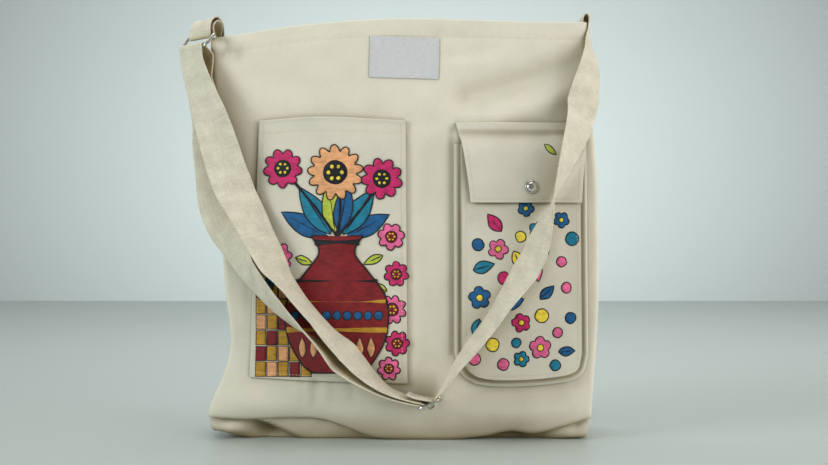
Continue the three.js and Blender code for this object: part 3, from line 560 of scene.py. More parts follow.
def hem_layer(T):
    """Extra thickness of the folded hem inside the rim."""
    start, end = (HEM.down + fade for fade in HEM.fade)
    return HEM.layer * smooth((1 - T) * PANEL_SIZE[1], start, end)


def panel_thickness(S, T):
    return WALL + hem_layer(T)


def panel(depth_at, hem, side):
    """Middle surface of the front (side -1) or back (side +1), edges turned into the seams."""
    def middle(S, T):
        s, turn = rolled(S, PANEL_SIZE[0], (1, 1))
        t, tuck = rolled(T, PANEL_SIZE[1], (1, 0))
        across = side * (1 - 2 * s)
        z = mix(edge(hem, across) + SEAM_ROLL, edge(RIM, across), t)
        half = (section("right", z) - section("left", z)) / 2
        centre = (section("right", z) + section("left", z)) / 2
        x = centre + (half - SEAM_ROLL) * across
        inward = SEAM_ROLL * (2 - np.cos(turn) - np.cos(tuck)) + WALL / 2 + hem_layer(T) / 2
        y = depth_at(x, z) - side * inward
        return np.stack([x - side * SEAM_ROLL * np.sin(turn), y, z + SEAM_ROLL * np.sin(tuck)], -1)

    return middle


# Side and base strip

def base_height(across, t):
    seam = np.where(t < 0.5, edge(FRONT_HEM, across), edge(BACK_HEM, across))
    flat = smooth(t, 0, FLOOR_BLEND) * smooth(1 - t, 0, FLOOR_BLEND)
    lift = np.where(across < 0, FLOOR_LIFT[-1], FLOOR_LIFT[1])
    return mix(seam, lift * smooth(np.abs(across), FLOOR_FLAT, 1) + WALL / 2, flat)


def strip_row(s, t):
    """One line across the strip, from the front seam (t 0) to the back seam (t 1)."""
    hollow = (4 * t * (1 - t)) ** 2
    turn = mix(*CORNER, hollow)
    side, run = (-1, s) if s < 0.5 else (1, 1 - s)
    inset = SEAM_INSET

    def foot(side):
        return base_height(float(side), t) + turn

    def wall(side, z):
        seam = section("left" if side < 0 else "right", z)
        return seam - side * (section("tuck", z) * hollow + WALL / 2)

    if run < STRIP.side:
        z = mix(edge(RIM, float(side)), foot(side), run / STRIP.side)
        x = wall(side, z)
    elif run < STRIP.side + STRIP.corner:
        angle = math.pi / 2 * (run - STRIP.side) / STRIP.corner
        z = foot(side) - turn * math.sin(angle)
        x = wall(side, foot(side)) - side * turn * (1 - math.cos(angle))
    else:
        at = (s - STRIP.side - STRIP.corner) / STRIP.base
        z = base_height(2 * at - 1, t)
        x = mix(wall(-1, foot(-1)) + turn, wall(1, foot(1)) - turn, at)
        inset = mix(SEAM_INSET, BASE_INSET, smooth(min(at, 1 - at), 0, BASE_INSET_BLEND))
    half = section("seam", z) - inset
    return np.stack([x, mix(-half, half, t), z], -1)


def base_push(x, z):
    """How far the strip stands out under the front: swellings, hollows and a slanting crease."""
    swells = 0.0
    for x0, z0, wide, tall, out in zip(*BASE_SWELLS.values()):
        swells = swells + out * bell(np.hypot((x - x0) / wide, (z - z0) / tall), 1)
    x0, z0, x1, z1, blend, out, reach = BASE_CREASE.values()
    right = ((x - x0) * (z0 - z1) + (z - z0) * (x1 - x0)) / math.hypot(x1 - x0, z1 - z0)
    right = smooth(right, -blend, blend) * smooth(x, reach, -reach)
    return mix(swells, out, right) + ripple("base", x, z)


def gusset_middle(S, T):
    """Middle surface of the strip: S runs down the left, along the base and up the right."""
    t = 1 - T
    points = np.stack([strip_row(s, t[:, 0]) for s in S[0]], 1)
    away = np.abs(S - 0.5)
    swell = np.sin(math.pi * T) * ripple("side", S * STRIP.length, T * STRIP.drawn)
    points[..., 0] += np.sign(points[..., 0]) * swell * (away > STRIP_REACH.ripple)
    near = smooth(t, 0, STRIP_REACH.start) * smooth(t, STRIP_REACH.end, STRIP_REACH.full)
    near = near * (away < STRIP_REACH.front)
    points[..., 1] -= near * base_push(points[..., 0], points[..., 2])
    return points


# Webbing

def unit(vector):
    vector = np.asarray(vector, float)
    return vector / np.linalg.norm(vector, axis=-1, keepdims=True)


def catmull(points, places):
    """Centripetal Catmull-Rom curve through points, at places counted in spans."""
    padded = np.vstack([2 * points[0] - points[1], points, 2 * points[-1] - points[-2]])
    row = np.clip(places.astype(int), 0, len(points) - 2)
    t = (places - row)[:, None]
    p0, p1, p2, p3 = (padded[row + k] for k in range(4))
    gaps = (p1 - p0, p2 - p1, p3 - p2)
    d0, d1, d2 = (np.sqrt(np.linalg.norm(gap, axis=1))[:, None] for gap in gaps)
    m1 = ((p1 - p0) / d0 - (p2 - p0) / (d0 + d1) + (p2 - p1) / d1) * d1
    m2 = ((p2 - p1) / d1 - (p3 - p1) / (d1 + d2) + (p3 - p2) / d2) * d1
    return p1 + m1 * t + (3 * (p2 - p1) - 2 * m1 - m2) * t**2 + (2 * (p1 - p2) + m1 + m2) * t**3


def course(rows):
    """Rows of a course as points with the direction across the webbing."""
    points = np.stack([rows[key] for key in "xyz"], 1)
    run = unit(np.gradient(points, axis=0))
    flat = unit(np.cross(run, (0, 1, 0)))
    angle = np.radians(rows["turn"])[:, None]
    return list(zip(points, flat * np.cos(angle) + np.cross(run, flat) * np.sin(angle)))


class Hardware:
    """Frame of a piece of metal: its middle, its bar's direction and the other two."""

    def __init__(self, spec):
        self.at = np.array(spec.at, float)
        self.bar = unit(spec.bar)
        other = np.array(spec.other, float)
        self.second = unit(other - self.bar * (other @ self.bar))
        self.third = unit(np.cross(self.second, self.bar))

    def spot(self, p, q):
        return self.at + self.second * p + self.third * q

    def flat(self, p, q):
        return (self.spot(p, q), self.bar)

    def arc(self, middle, radius, start, end):
        steps = math.ceil(abs(end - start) / BEND_STEP)
        angles = np.radians(np.linspace(start, end, steps + 1))
        return [self.flat(middle + radius * math.cos(a), radius * math.sin(a)) for a in angles]


def aligned(rows):
    """The same rows, each across direction on the side of the one before it."""
    made = [rows[0]]
    for point, across in rows[1:]:
        made.append((point, across if across @ made[-1][1] > 0 else -across))
    return made


def strap_rows():
    """The whole strap: from its sewn end to the slider, the ring and back to the slider."""
    slider, ring = Hardware(SLIDER), Hardware(RING)
    pitch, wrap = SLIDER_SIZE.pitch, SLIDER_WRAP
    slope = math.degrees(math.asin((2 * BEND + LAYER) / pitch))
    first = slider.arc(0, BEND + LAYER, wrap.entry, -90 - slope)
    lean = math.radians(-wrap.entry)
    above = wrap.lead * (math.sin(lean) * slider.second + math.cos(lean) * slider.third)
    return [
        *((np.array(point, float), np.array((0.0, 1.0, 0.0))) for point in STRAP_ROOT),
        *course(STRAP_RIGHT),
        (first[0][0] + above, slider.bar),
        *first,
        *slider.arc(-pitch, BEND, 90 - slope, wrap.left),
        *course(STRAP_BACK)[::-1],
        *ring.arc(-RING_SIZE.tall / 2, BEND, RING_WRAP.end, RING_WRAP.strap),
        *course(STRAP_FRONT),
        *slider.arc(-pitch, BEND + LAYER, wrap.left, 90 - slope),
        *slider.arc(0, BEND, -90 - slope, wrap.end),
        *(slider.flat(p, q) for p, q in SLIDER_TAIL),
    ]


def tab_rows():
    """The doubled tab: down inside the corner, out, round the ring and back."""
    points = np.stack([TAB[key] for key in "xyz"], 1)
    yaw = np.radians(TAB["yaw"])
    width = np.stack([np.cos(yaw), -np.sin(yaw), 0 * yaw], 1)
    normal = unit(np.cross(width, np.gradient(points, axis=0))) * (LAYER / 2 + TAB_SPREAD)
    ring = Hardware(RING)
    return [
        *zip(points - normal, width),
        *ring.arc(RING_SIZE.tall / 2, BEND, RING_WRAP.tab, RING_WRAP.end),
        *list(zip(points + normal, width))[::-1],
    ]


def ribbon(name, rows, step, material):
    """Webbing with rounded selvedges through rows of points and directions across."""
    points, widths = (np.array(column) for column in zip(*rows))
    last = len(points) - 1
    places = []
    for i, length in enumerate(np.linalg.norm(np.diff(points, axis=0), axis=1)):
        steps = max(1, math.ceil(length / step))
        places.extend(i + np.arange(steps) / steps)
    places = np.array([*places, float(last)])
    small = 1e-3
    middle = catmull(points, places)
    ahead = catmull(points, np.minimum(places + small, last))
    run = unit(ahead - catmull(points, np.maximum(places - small, 0)))
    row = np.clip(places.astype(int), 0, last - 1)
    width = mix(widths[row], widths[row + 1], (places - row)[:, None])
    width = unit(width - run * np.sum(width * run, 1, keepdims=True))
    normal = np.cross(width, run)
    half, thick = WEB.width / 2, WEB.thick / 2
    side = half * np.sin(np.linspace(-1, 1, WEB_RING.points) * math.pi / 2 * WEB_RING.reach)
    past = np.maximum(np.abs(side) - half + thick, 0) / thick
    lift = thick * np.sqrt(np.maximum(1 - past**2, WEB_RING.thin))
    ring = np.concatenate([np.stack([side, lift], 1), np.stack([side, -lift], 1)[::-1]])[::-1]
    shape = middle[:, None] + ring[None, :, :1] * width[:, None] + ring[None, :, 1:] * normal[:, None]
    length = lengths(middle)
    under = WEB.width + WEB_RING.apart
    across = ring[:, 0] + half + np.where(ring[:, 1] > 0, 0, under)
    uv = np.stack(np.broadcast_arrays(across[None, :], length[:, None]), -1) * MM
    return tube(name, shape, uv, material), length[-1]


# Metal

def wire_loop(name, spec, length, tall, corner, material):
    """Closed round wire in the shape of a rounded rectangle."""
    bars = Hardware(spec)
    p, q = length / 2 - corner, tall / 2 - corner
    loop = []
    for x, y, start in ((p, q, 0), (-p, q, 90), (-p, -q, 180), (p, -q, 270)):
        for angle in np.radians(start + np.linspace(0, 90, BEND_POINTS)):
            loop.append((x + corner * math.cos(angle), y + corner * math.sin(angle)))
    loop = np.array(loop)
    run = unit(np.roll(loop, -1, 0) - np.roll(loop, 1, 0))
    out = np.stack([run[:, 1], -run[:, 0]], 1)
    angles = np.linspace(0, TAU, WIRE_SIDES, endpoint=False)
    flat = loop[:, None] + out[:, None] * (WIRE * np.cos(angles))[None, :, None]
    off = np.broadcast_to(WIRE * np.sin(angles), flat.shape[:2])[..., None]
    axis = np.cross(bars.bar, bars.second)
    shape = bars.at + flat[..., :1] * bars.bar + flat[..., 1:] * bars.second + off * axis
    uv = np.stack(np.meshgrid(angles, np.arange(len(loop))), -1) * MM
    return tube(name, shape[:, ::-1], uv, material, closed=True)


def round_bar(name, spec, length, material):
    """Straight bar with rounded ends along a frame's bar direction."""
    bars = Hardware(spec)
    angle = np.linspace(-math.pi / 2, math.pi / 2, BEND_POINTS)
    half = BEND_POINTS // 2
    angle = np.concatenate([angle[:half + 1], angle[half:]])
    heights = np.repeat((-length / 2, length / 2), half + 1) + WIRE * np.sin(angle)
    axes = (bars.bar, bars.second, -bars.third)
    return lathe(name, bars.at, axes, heights, WIRE * np.cos(angle), WIRE_SIDES, material)


def snap_dome(material):
    """Cap of the snap, turned about the flap's own normal."""
    x, z, step = SNAP.x, SNAP.height, SNAP.step
    off = flap_off(x, z) + POCKET_WALL
    at = on_front(x, z, off)
    first = unit(on_front(x + step, z, off) - at)
    axis = unit(np.cross(first, on_front(x, z + step, off) - at))
    foot = -POCKET_WALL - SNAP.reach
    radii = np.concatenate([[0, SNAP.post, SNAP.post], SNAP_CAP["radius"]])
    heights = np.concatenate([[foot, foot, GAP], SNAP_CAP["height"] + GAP])
    axes = (axis, first, np.cross(axis, first))
    return lathe("snap_dome", at, axes, heights, radii, SNAP.sides, material)


# Stitches

STITCH = {"pitch": 3.0, "length": 2.3, "radius": 0.26}
STITCH_SIDES = 6
STITCH_LOOK = 0.4  # distance before and behind a stitch that gives its direction
# Rings of one stitch: place along it, size and rise
STITCH_RINGS = (
    (-1, 0.2, -0.5), (-0.75, 0.8, -0.1), (-0.3, 1, 0.2), (0.3, 1, 0.2), (0.75, 0.8, -0.1), (1, 0.2, -0.5),
)
LIFT_STEP = 0.5  # distance over which a surface's normal is taken


def read_off(line, values, at):
    """Values of a line's points at distances along it."""
    place = lengths(line)
    return np.stack([np.interp(at, place, column) for column in values.T], 1)


def stitches(name, runs, material, scale=1.0):
    """Short threads along lines of points and normals, half sunk in the cloth."""
    pitch, length, radius = (STITCH[key] * scale for key in ("pitch", "length", "radius"))
    turn = np.linspace(0, TAU, STITCH_SIDES, endpoint=False)
    template = np.array([
        (place * length / 2, size * radius * math.cos(a), rise * radius + size * radius * math.sin(a))
        for place, size, rise in STITCH_RINGS for a in turn
    ])
    one = ring_faces(len(STITCH_RINGS), STITCH_SIDES)
    points, faces = [], []
    for line, up in runs:
        at = np.arange(pitch / 2, lengths(line)[-1], pitch)
        run = unit(read_off(line, line, at + STITCH_LOOK) - read_off(line, line, at - STITCH_LOOK))
        side = unit(np.cross(read_off(line, up, at), run))
        frames = np.stack([run, side, np.cross(run, side)], 1)
        for stitch in read_off(line, line, at)[:, None] + np.einsum("pk,nkc->npc", template, frames):
            faces.extend([len(points) + k for k in face] for face in one)
            points.extend(stitch)
    points = np.array(points)
    return make(name, points, faces, points[:, ::2] * MM, material)


def lift_of(off_at, wall):
    """Point and normal on a sheet in front of the bag, from its height off the panel."""
    def point(x, z):
        return on_front(x, z, off_at(x, z) + wall)

    def spot(x, z):
        here = point(x, z)
        return here, unit(np.cross(point(x + LIFT_STEP, z) - here, point(x, z + LIFT_STEP) - here))

    return spot


# Painted design: flat shapes in the front's x and z, pressed on to a pocket

PETAL = Values(points=10, deep=0.32, round=0.7)
LEAF = Values(points=13, slant=0.85)
PROFILE_POINTS = 40
# Painted edges: their wobble, how far paint sinks in, and the grid that lets it bend
PAINTED = Values(wobble=0.1, sink=0.1, grid=3.0, clear=0.9, close=1e-4)


def disc(x, z, radius, points=30):
    a = np.linspace(0, TAU, points, endpoint=False)
    return np.stack([x + radius * np.cos(a), z + radius * np.sin(a)], 1)


def leaf(x, z, length, width, turn):
    """Pointed leaf from its foot, along a direction in degrees from the x axis."""
    t = np.linspace(0, 1, LEAF.points)
    half = width / 2 * np.sin(math.pi * t ** LEAF.slant)
    loop = np.concatenate([np.stack([t * length, half], 1), np.stack([t * length, -half], 1)[-2:0:-1]])
    a = math.radians(turn)
    return loop @ np.array([[math.cos(a), math.sin(a)], [-math.sin(a), math.cos(a)]]) + (x, z)


def daisy(x, z, radius, petals, turn):
    a = np.linspace(0, TAU, petals * PETAL.points, endpoint=False)
    bulge = np.abs(np.cos(petals * (a - turn) / 2)) ** PETAL.round
    r = radius * (1 - PETAL.deep + PETAL.deep * bulge)
    return np.stack([x + r * np.cos(a), z + r * np.sin(a)], 1)


def profile(x, rows):
    """Shape that is even about an upright line, from rows of height and half width."""
    curve = table("z half", *rows)
    curve["at"] = np.linspace(0, 1, len(rows))
    z, half = (along(curve, "at", key, np.linspace(0, 1, PROFILE_POINTS)) for key in ("z", "half"))
    return np.concatenate([np.stack([x + half, z], 1), np.stack([x - half, z], 1)[::-1]])


def both_edges(points, run, width):
    """The two edges of a line of a given width."""
    side = np.stack([-run[:, 1], run[:, 0]], 1) * (width / 2)
    return points + side, points - side


def brush_line(points, width):
    left, right = both_edges(points, unit(np.gradient(points, axis=0)), width)
    return np.concatenate([left, right[::-1]])


class Painting:
    """Shapes of one painted surface, gathered as one thin mesh of closed shapes."""

    def __init__(self, off_at, seed):
        self.off_at = off_at
        self.random = np.random.default_rng(seed)
        self.shapes = []

    def add(self, colour, loop, line=0):
        """A filled shape with a slightly uneven edge, and a black line round it."""
        wave = self.random.normal(0, 1, loop.shape)
        loop = loop + (wave + np.roll(wave, 1, 0) + np.roll(wave, -1, 0)) * PAINTED.wobble
        self.shapes.append((colour, *self.fill(loop)))
        if line:
            self.shapes.append(("black", *self.outline(loop, line)))

    def fill(self, loop):
        """Flat triangles inside a loop, on a grid that is fine enough to bend."""
        grid = PAINTED.grid
        rows = (np.arange(a + grid / 2, b, grid) for a, b in zip(loop.min(0), loop.max(0)))
        spots = np.stack(np.meshgrid(*rows), -1).reshape(-1, 2)
        spots = spots[[inside(spot, loop) for spot in spots]] if len(spots) else spots
        points = [tuple(p) for p in np.concatenate([loop, spots])]
        verts, _, faces, *_ = delaunay_2d_cdt(points, [], [list(range(len(loop)))], 1, PAINTED.close)
        flat = np.array([tuple(v) for v in verts])
        return flat, turned(flat, faces)

    def outline(self, loop, width):
        """Flat triangles of a line round a loop."""
        run = unit(np.roll(loop, -1, 0) - np.roll(loop, 1, 0))
        points, run = (np.concatenate([rows, rows[:1]]) for rows in (loop, run))
        count = len(points)
        flat = np.concatenate(both_edges(points, run, width))
        faces = []
        for a in range(count):
            b = (a + 1) % count
            faces += [[a, b, b + count], [a, b + count, a + count]]
        return flat, turned(flat, faces)

    def solid(self, level, flat, triangles):
        """Points and faces of one thin shape, its top a hair off the cloth."""
        x, z = flat.T
        off = self.off_at(x, z)
        top = on_front(x, z, off + PAINT_LIFT.cloth + PAINT_LIFT.step * level)
        foot = on_front(x, z, off - PAINTED.sink)
        count = len(flat)
        faces = [list(t) for t in triangles]
        faces += [[k + count for k in reversed(t)] for t in triangles]
        faces += [[a + count, b + count, b, a] for a, b in open_edges(triangles)]
        return np.concatenate([top, foot]), faces

    def build(self, name):
        """One mesh of all the shapes, each a level above those that it may overlap."""
        points, faces, colours, covered = [], [], [], []
        for colour, flat, triangles in self.shapes:
            low, high = flat.min(0), flat.max(0)
            under = [level for a, b, level in covered if (a < high).all() and (low < b).all()]
            level = 1 + max(under, default=0)
            covered.append((low, high, level))
            made, made_faces = self.solid(level, flat, triangles)
            faces.extend([len(points) + k for k in face] for face in made_faces)
            points.extend(made)
            colours.extend([PAINT_NAMES.index(colour)] * len(made_faces))
        points = np.array(points)
        piece = make(name, points, faces, points[:, ::2] * MM, PAINT_MATERIALS[0])
        for material in PAINT_MATERIALS[1:]:
            piece.data.materials.append(material)
        piece.data.polygons.foreach_set("material_index", colours)
        dress(piece, None)


def inside(point, loop):
    """Whether a point lies well inside a loop."""
    x, z = point
    x0, z0 = loop.T
    x1, z1 = np.roll(loop, -1, 0).T
    crosses = (z0 > z) != (z1 > z)
    at = x0 + (z - z0) / np.where(z1 == z0, 1e-9, z1 - z0) * (x1 - x0)
    return bool(np.sum(crosses & (x < at)) % 2) and np.hypot(x0 - x, z0 - z).min() > PAINTED.clear


def turned(flat, triangles):
    """Triangles that all face the front."""
    made = []
    for a, b, c in triangles:
        ab, ac = flat[b] - flat[a], flat[c] - flat[a]
        made.append([a, b, c] if ab[0] * ac[1] - ab[1] * ac[0] > 0 else [a, c, b])
    return made


def open_edges(triangles):
    used = {(t[k], t[(k + 1) % 3]) for t in triangles for k in range(3)}
    return [(a, b) for a, b in used if (b, a) not in used]


# Materials

RAMP_STOPS = (0.35, 0.65)
SHEEN_ROUGHNESS = 0.6
# Woven cloths: slubs across and along, shares in the tone and in the relief, darkest and palest
# shade, tint of the painted shade in creases and recesses, strength and depth of the bump
COTTON = Values(
    rough=0.93, sheen=0.12, slubs=((1300, 150), (160, 1200)), blotch=26.0, twill=None,
    tone={"streaks": 0.26, "blotch": 0.46, "weave": 0.035}, relief={"weave": 0.5, "streaks": 1.0},
    shades=(0.93, 1.06), soil=CANVAS_CREASE_SHADE, bump=(0.45, 0.16),
)
# Twill also has slanting ribs: their slope and pitch
TWILL = Values(
    rough=0.95, sheen=0.15, slubs=((700, 60), (90, 420)), blotch=60.0, twill=(0.6, 2.4),
    tone={"streaks": 0.3, "blotch": 0.35, "weave": 0.06, "twill": 0.03},
    relief={"weave": 0.6, "twill": 0.4, "streaks": 1.0},
    shades=(0.82, 1.12), soil=WEB_CREASE_SHADE, bump=(0.7, 0.4),
)
PAINT_LOOK = Values(
    rough=0.62, shine=0.35, threads=(0.72, 0.8), brush=(130, 420), patches=90.0,
    shades=(0.72, 1.3), bump=(0.4, 0.2),
)
LABEL_LOOK = Values(
    rough=0.5, sheen=0.1, threads=(0.3, 0.45), streaks=(200, 1800), bump=(0.35, 0.1),
    colours=((0.52, 0.53, 0.545, 1), (0.62, 0.63, 0.645, 1)),
)
METAL_LOOK = Values(
    rough=0.2, wear=420.0, polish=(0.12, 0.3),
    colours=((0.62, 0.60, 0.57, 1), (0.80, 0.79, 0.77, 1)),
)
# Floor: its colour with a painted slope of light across it, placed by move, turn and scale, and faint random
# patches
FLOOR_LOOK = Values(
    colour=(0.47, 0.52, 0.50), rough=0.4, shine=0.3, patches=3.0, uneven=0.05,
    move=(0.5, 0, 0), turn=(0, 0, 0.9), scale=(0.25, 0.25, 1),
    shades=(0.84, 1.14), stops=(0.1, 0.9),
)
# Wall: its colour with a painted pool of light round the middle, darker outwards
WALL_LOOK = Values(
    colour=(0.745, 0.83, 0.835), rough=0.9, move=(0, 0, -0.18), scale=(0.36, 0, 0.62),
    shades=(0.4, 1.0), stops=(0.3, 0.85),
)


def node(tree, kind, inputs=(), **settings):
    made = tree.nodes.new("ShaderNode" + kind)
    for key, value in settings.items():
        setattr(made, key, value)
    for key, value in dict(inputs).items():
        if isinstance(value, bpy.types.NodeSocket):
            tree.links.new(value, made.inputs[key])
        else:
            made.inputs[key].default_value = value
    return made


def maths(tree, operation, a, b=0.0):
    return node(tree, "Math", {0: a, 1: b}, operation=operation).outputs[0]


def start(name, rough, **sockets):
    """New material, with its tree and shader."""
    material = bpy.data.materials.new(name)
    material.use_nodes = True
    tree = material.node_tree
    shader = tree.nodes["Principled BSDF"]
    shader.inputs["Roughness"].default_value = rough
    for key, value in sockets.items():
        shader.inputs[key.replace("_", " ")].default_value = value
    return material, tree, shader


def shade(colour, factor):
    return tuple(min(c * factor, 1.0) for c in colour) + (1.0,)


def threads(tree, pitch_u, pitch_v):
    """Height of a plain weave on the cloth's own places, and those places."""
    place = node(tree, "UVMap", uv_map="cloth").outputs[0]
    axes = node(tree, "SeparateXYZ", {0: place})
    u = maths(tree, "MULTIPLY", axes.outputs[0], math.pi / (pitch_u * MM))
    v = maths(tree, "MULTIPLY", axes.outputs[1], math.pi / (pitch_v * MM))
    return maths(tree, "MULTIPLY", maths(tree, "SINE", u), maths(tree, "SINE", v)), place, axes


def slubs(tree, place, across, lengthways):
    """Streaks of thicker and thinner thread."""
    scaled = node(tree, "Mapping", {0: place, 3: (across, lengthways, 1)}).outputs[0]
    return noise(tree, scaled, 1.0, detail=3.0)


def ramp(tree, factor, low, high, stops=RAMP_STOPS):
    made = node(tree, "ValToRGB", {0: factor})
    for element, place, colour in zip(made.color_ramp.elements, stops, (low, high)):
        element.position = place
        element.color = colour
    return made.outputs[0]


def noise(tree, place, scale, detail):
    return node(tree, "TexNoise", {"Vector": place, "Scale": scale, "Detail": detail}).outputs[0]


def tinted(tree, shader, factor, low, high, stops=RAMP_STOPS, socket="Base Color"):
    tree.links.new(ramp(tree, factor, low, high, stops), shader.inputs[socket])


def weighted(tree, parts, weights):
    """Sum of some of the parts, each times its weight."""
    total = 0.0
    for key, weight in weights.items():
        total = node(tree, "Math", {0: parts[key], 1: weight, 2: total}, operation="MULTIPLY_ADD").outputs[0]
    return total


def bumped(tree, shader, height, strength, distance):
    bump = node(tree, "Bump", {"Height": height, "Strength": strength, "Distance": distance * MM})
    tree.links.new(bump.outputs[0], shader.inputs["Normal"])


def painted_crease_shade(tree, shader, colour, soil):
    """Colour of cloth with painted shade: darker and browner, by ambient occlusion, in its folds, along its
    seams, beside other pieces and near the floor.
    """
    reach = {"Distance": CREASE.reach * MM}
    open_air = node(tree, "AmbientOcclusion", reach, samples=CREASE.samples).outputs[1]
    painted_shade = ramp(tree, open_air, (*soil, 1), (1, 1, 1, 1), CREASE.stops)
    mixed = node(tree, "Mix", {0: 1.0, 6: colour, 7: painted_shade}, data_type="RGBA", blend_type="MULTIPLY")
    tree.links.new(mixed.outputs[2], shader.inputs["Base Color"])


def woven(name, colour, pitch, look):
    """Woven cotton: threads, slubs, soft blotches, painted shade in its creases and a little sheen."""
    material, tree, shader = start(
        name, look.rough, Sheen_Weight=look.sheen, Sheen_Roughness=SHEEN_ROUGHNESS
    )
    weave, place, axes = threads(tree, *pitch)
    across, down = (slubs(tree, place, *size) for size in look.slubs)
    parts = {"weave": weave, "streaks": maths(tree, "ADD", across, down)}
    parts["blotch"] = noise(tree, place, look.blotch, detail=4.0)
    if look.twill:
        slope, rib = look.twill
        slant = maths(tree, "ADD", axes.outputs[0], maths(tree, "MULTIPLY", axes.outputs[1], slope))
        parts["twill"] = maths(tree, "SINE", maths(tree, "MULTIPLY", slant, TAU / (rib * MM)))
    tone = weighted(tree, parts, look.tone)
    shades = (shade(colour, factor) for factor in look.shades)
    painted_crease_shade(tree, shader, ramp(tree, tone, *shades), look.soil)
    bumped(tree, shader, weighted(tree, parts, look.relief), *look.bump)
    return material


def paint(name, colour):
    """Fabric paint: brush streaks, the weave showing through, a faint gloss."""
    look = PAINT_LOOK
    material, tree, shader = start("paint_" + name, look.rough, Specular_IOR_Level=look.shine)
    weave, place, _ = threads(tree, *look.threads)
    brush = slubs(tree, place, *look.brush)
    patchy = noise(tree, place, look.patches, detail=5.0)
    tone = maths(tree, "MULTIPLY", maths(tree, "ADD", brush, patchy), 0.5)
    tinted(tree, shader, tone, *(shade(colour, factor) for factor in look.shades))
    bumped(tree, shader, maths(tree, "ADD", weave, brush), *look.bump)
    return material


def satin():
    """White woven label."""
    look = LABEL_LOOK
    material, tree, shader = start("label_satin", look.rough, Sheen_Weight=look.sheen)
    weave, place, _ = threads(tree, *look.threads)
    streaks = slubs(tree, place, *look.streaks)
    tinted(tree, shader, streaks, *look.colours)
    bumped(tree, shader, maths(tree, "ADD", weave, streaks), *look.bump)
    return material


def nickel():
    """Plated metal with fine scratches and a little wear."""
    look = METAL_LOOK
    material, tree, shader = start("nickel", look.rough, Metallic=1.0)
    place = node(tree, "TexCoord").outputs["Object"]
    wear = noise(tree, place, look.wear, detail=6.0)
    tinted(tree, shader, wear, *look.colours)
    greys = ((grey, grey, grey, 1) for grey in look.polish)
    tinted(tree, shader, wear, *greys, socket="Roughness")
    return material


def tabletop():
    """Smooth floor with painted light: palest at the front on the right."""
    look = FLOOR_LOOK
    material, tree, shader = start("floor", look.rough, Specular_IOR_Level=look.shine)
    place = node(tree, "TexCoord").outputs["Object"]
    slanted = {0: place, 1: look.move, 2: look.turn, 3: look.scale}
    slope = node(tree, "TexGradient", {0: node(tree, "Mapping", slanted).outputs[0]}).outputs[1]
    uneven = maths(tree, "MULTIPLY", noise(tree, place, look.patches, detail=2.0), look.uneven)
    shades = (shade(look.colour, factor) for factor in look.shades)
    tinted(tree, shader, maths(tree, "ADD", slope, uneven), *shades, look.stops)
    return material


def backdrop():
    """Smooth wall with a painted pool of light: palest behind the bag, darker outwards."""
    look = WALL_LOOK
    material, tree, shader = start("wall", look.rough)
    place = node(tree, "TexCoord").outputs["Object"]
    moved = node(tree, "Mapping", {0: place, 1: look.move, 3: look.scale}).outputs[0]
    glow = node(tree, "TexGradient", {0: moved}, gradient_type="SPHERICAL").outputs[1]
    tinted(tree, shader, glow, *(shade(look.colour, factor) for factor in look.shades), look.stops)
    return material


CANVAS = woven("canvas", CREAM, (0.72, 0.8064), COTTON)
POCKET = woven("canvas_pocket", POCKET_CREAM, (0.8, 0.896), COTTON)
WEBBING = woven("webbing", WEB_CREAM, (1.15, 1.7), TWILL)
SEWING = woven("thread", THREAD, (0.25, 0.28), COTTON)
SATIN = satin()
NICKEL = nickel()
PAINT_MATERIALS = [paint(name, colour) for name, colour in PAINTS.items()]


# Pieces

def dress(piece, slot, *nodes):
    """The piece rides on the bag and stands for part nodes, which it hides. The slot is not used."""
    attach(piece, "root")
    if nodes:
        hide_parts(*nodes)
    return piece


def bag_panels():
    for name, depth_at, hem, side in (("front", front_at, FRONT_HEM, -1), ("back", back_at, BACK_HEM, 1)):
        middle = panel(depth_at, hem, side)
        piece = cloth("canvas_" + name, middle, PANEL_SIZE, panel_thickness, STEP[name], CANVAS)
        dress(piece, "canvas", name + "_panel")
    size = (STRIP.length, STRIP.width)
    piece = cloth("canvas_gusset", gusset_middle, size, WALL, STEP["strip"], CANVAS, STRIP_MARKS)
    dress(piece, "canvas", "gusset")


def patch_spot(S, T):
    low_x = mix(PATCH.bottom_left, PATCH.bottom_right, S)
    low = along(PATCH_ENDS, "across", "bottom", S)
    x = mix(low_x, mix(PATCH.top_left, PATCH.top_right, S), T)
    return x, mix(low, along(PATCH_ENDS, "across", "top", S), T)


def bellows_spot(S, T):
    low = edge(BELLOWS_BOTTOM, S)
    return mix(BELLOWS.left, BELLOWS.right, S), mix(low, BELLOWS.top, T)


def bellows_eased(S, T):
    """Places on the bellows pocket, closest together at its sides."""
    return bellows_spot((1 - np.cos(math.pi * S)) / 2, T)


def flap_spot(S, T):
    x = mix(along(FLAP, "up", "left", T), along(FLAP, "up", "right", T), S)
    return x, along(FLAP, "up", "height", T)


def label_spot(S, T):
    turn = math.radians(LABEL.turn)
    across, up = (S - 0.5) * LABEL.width, (T - 0.5) * LABEL.tall
    x = LABEL.x + across * math.cos(turn) - up * math.sin(turn)
    return x, LABEL.height + across * math.sin(turn) + up * math.cos(turn)


def label_off(x, z):
    return LABEL.off + 0 * x


def front_sheet(name, spot, off_at, wall, size, step, material, thick=None):
    """Sheet that lies over the front, from its places and its height off the panel."""
    def middle(S, T):
        x, z = spot(S, T)
        return on_front(x, z, off_at(x, z) + wall / 2)

    return cloth(name, middle, size, thick or wall, step, material)


def turned_edge(name):
    """Thickness of a pocket's sheet with a turned upper edge."""
    fold, tall, start_fade, end_fade = TURNED[name]
    return lambda S, T: POCKET_WALL + fold * smooth((1 - T) * tall, start_fade, end_fade)


def patch_pocket():
    size = (PATCH_SIZE.width, PATCH_SIZE.tall)
    piece = front_sheet(
        "pocket_left", patch_spot, patch_off, POCKET_WALL, size, STEP["pocket"], POCKET, turned_edge("patch")
    )
    dress(piece, "canvas", "left_pocket")


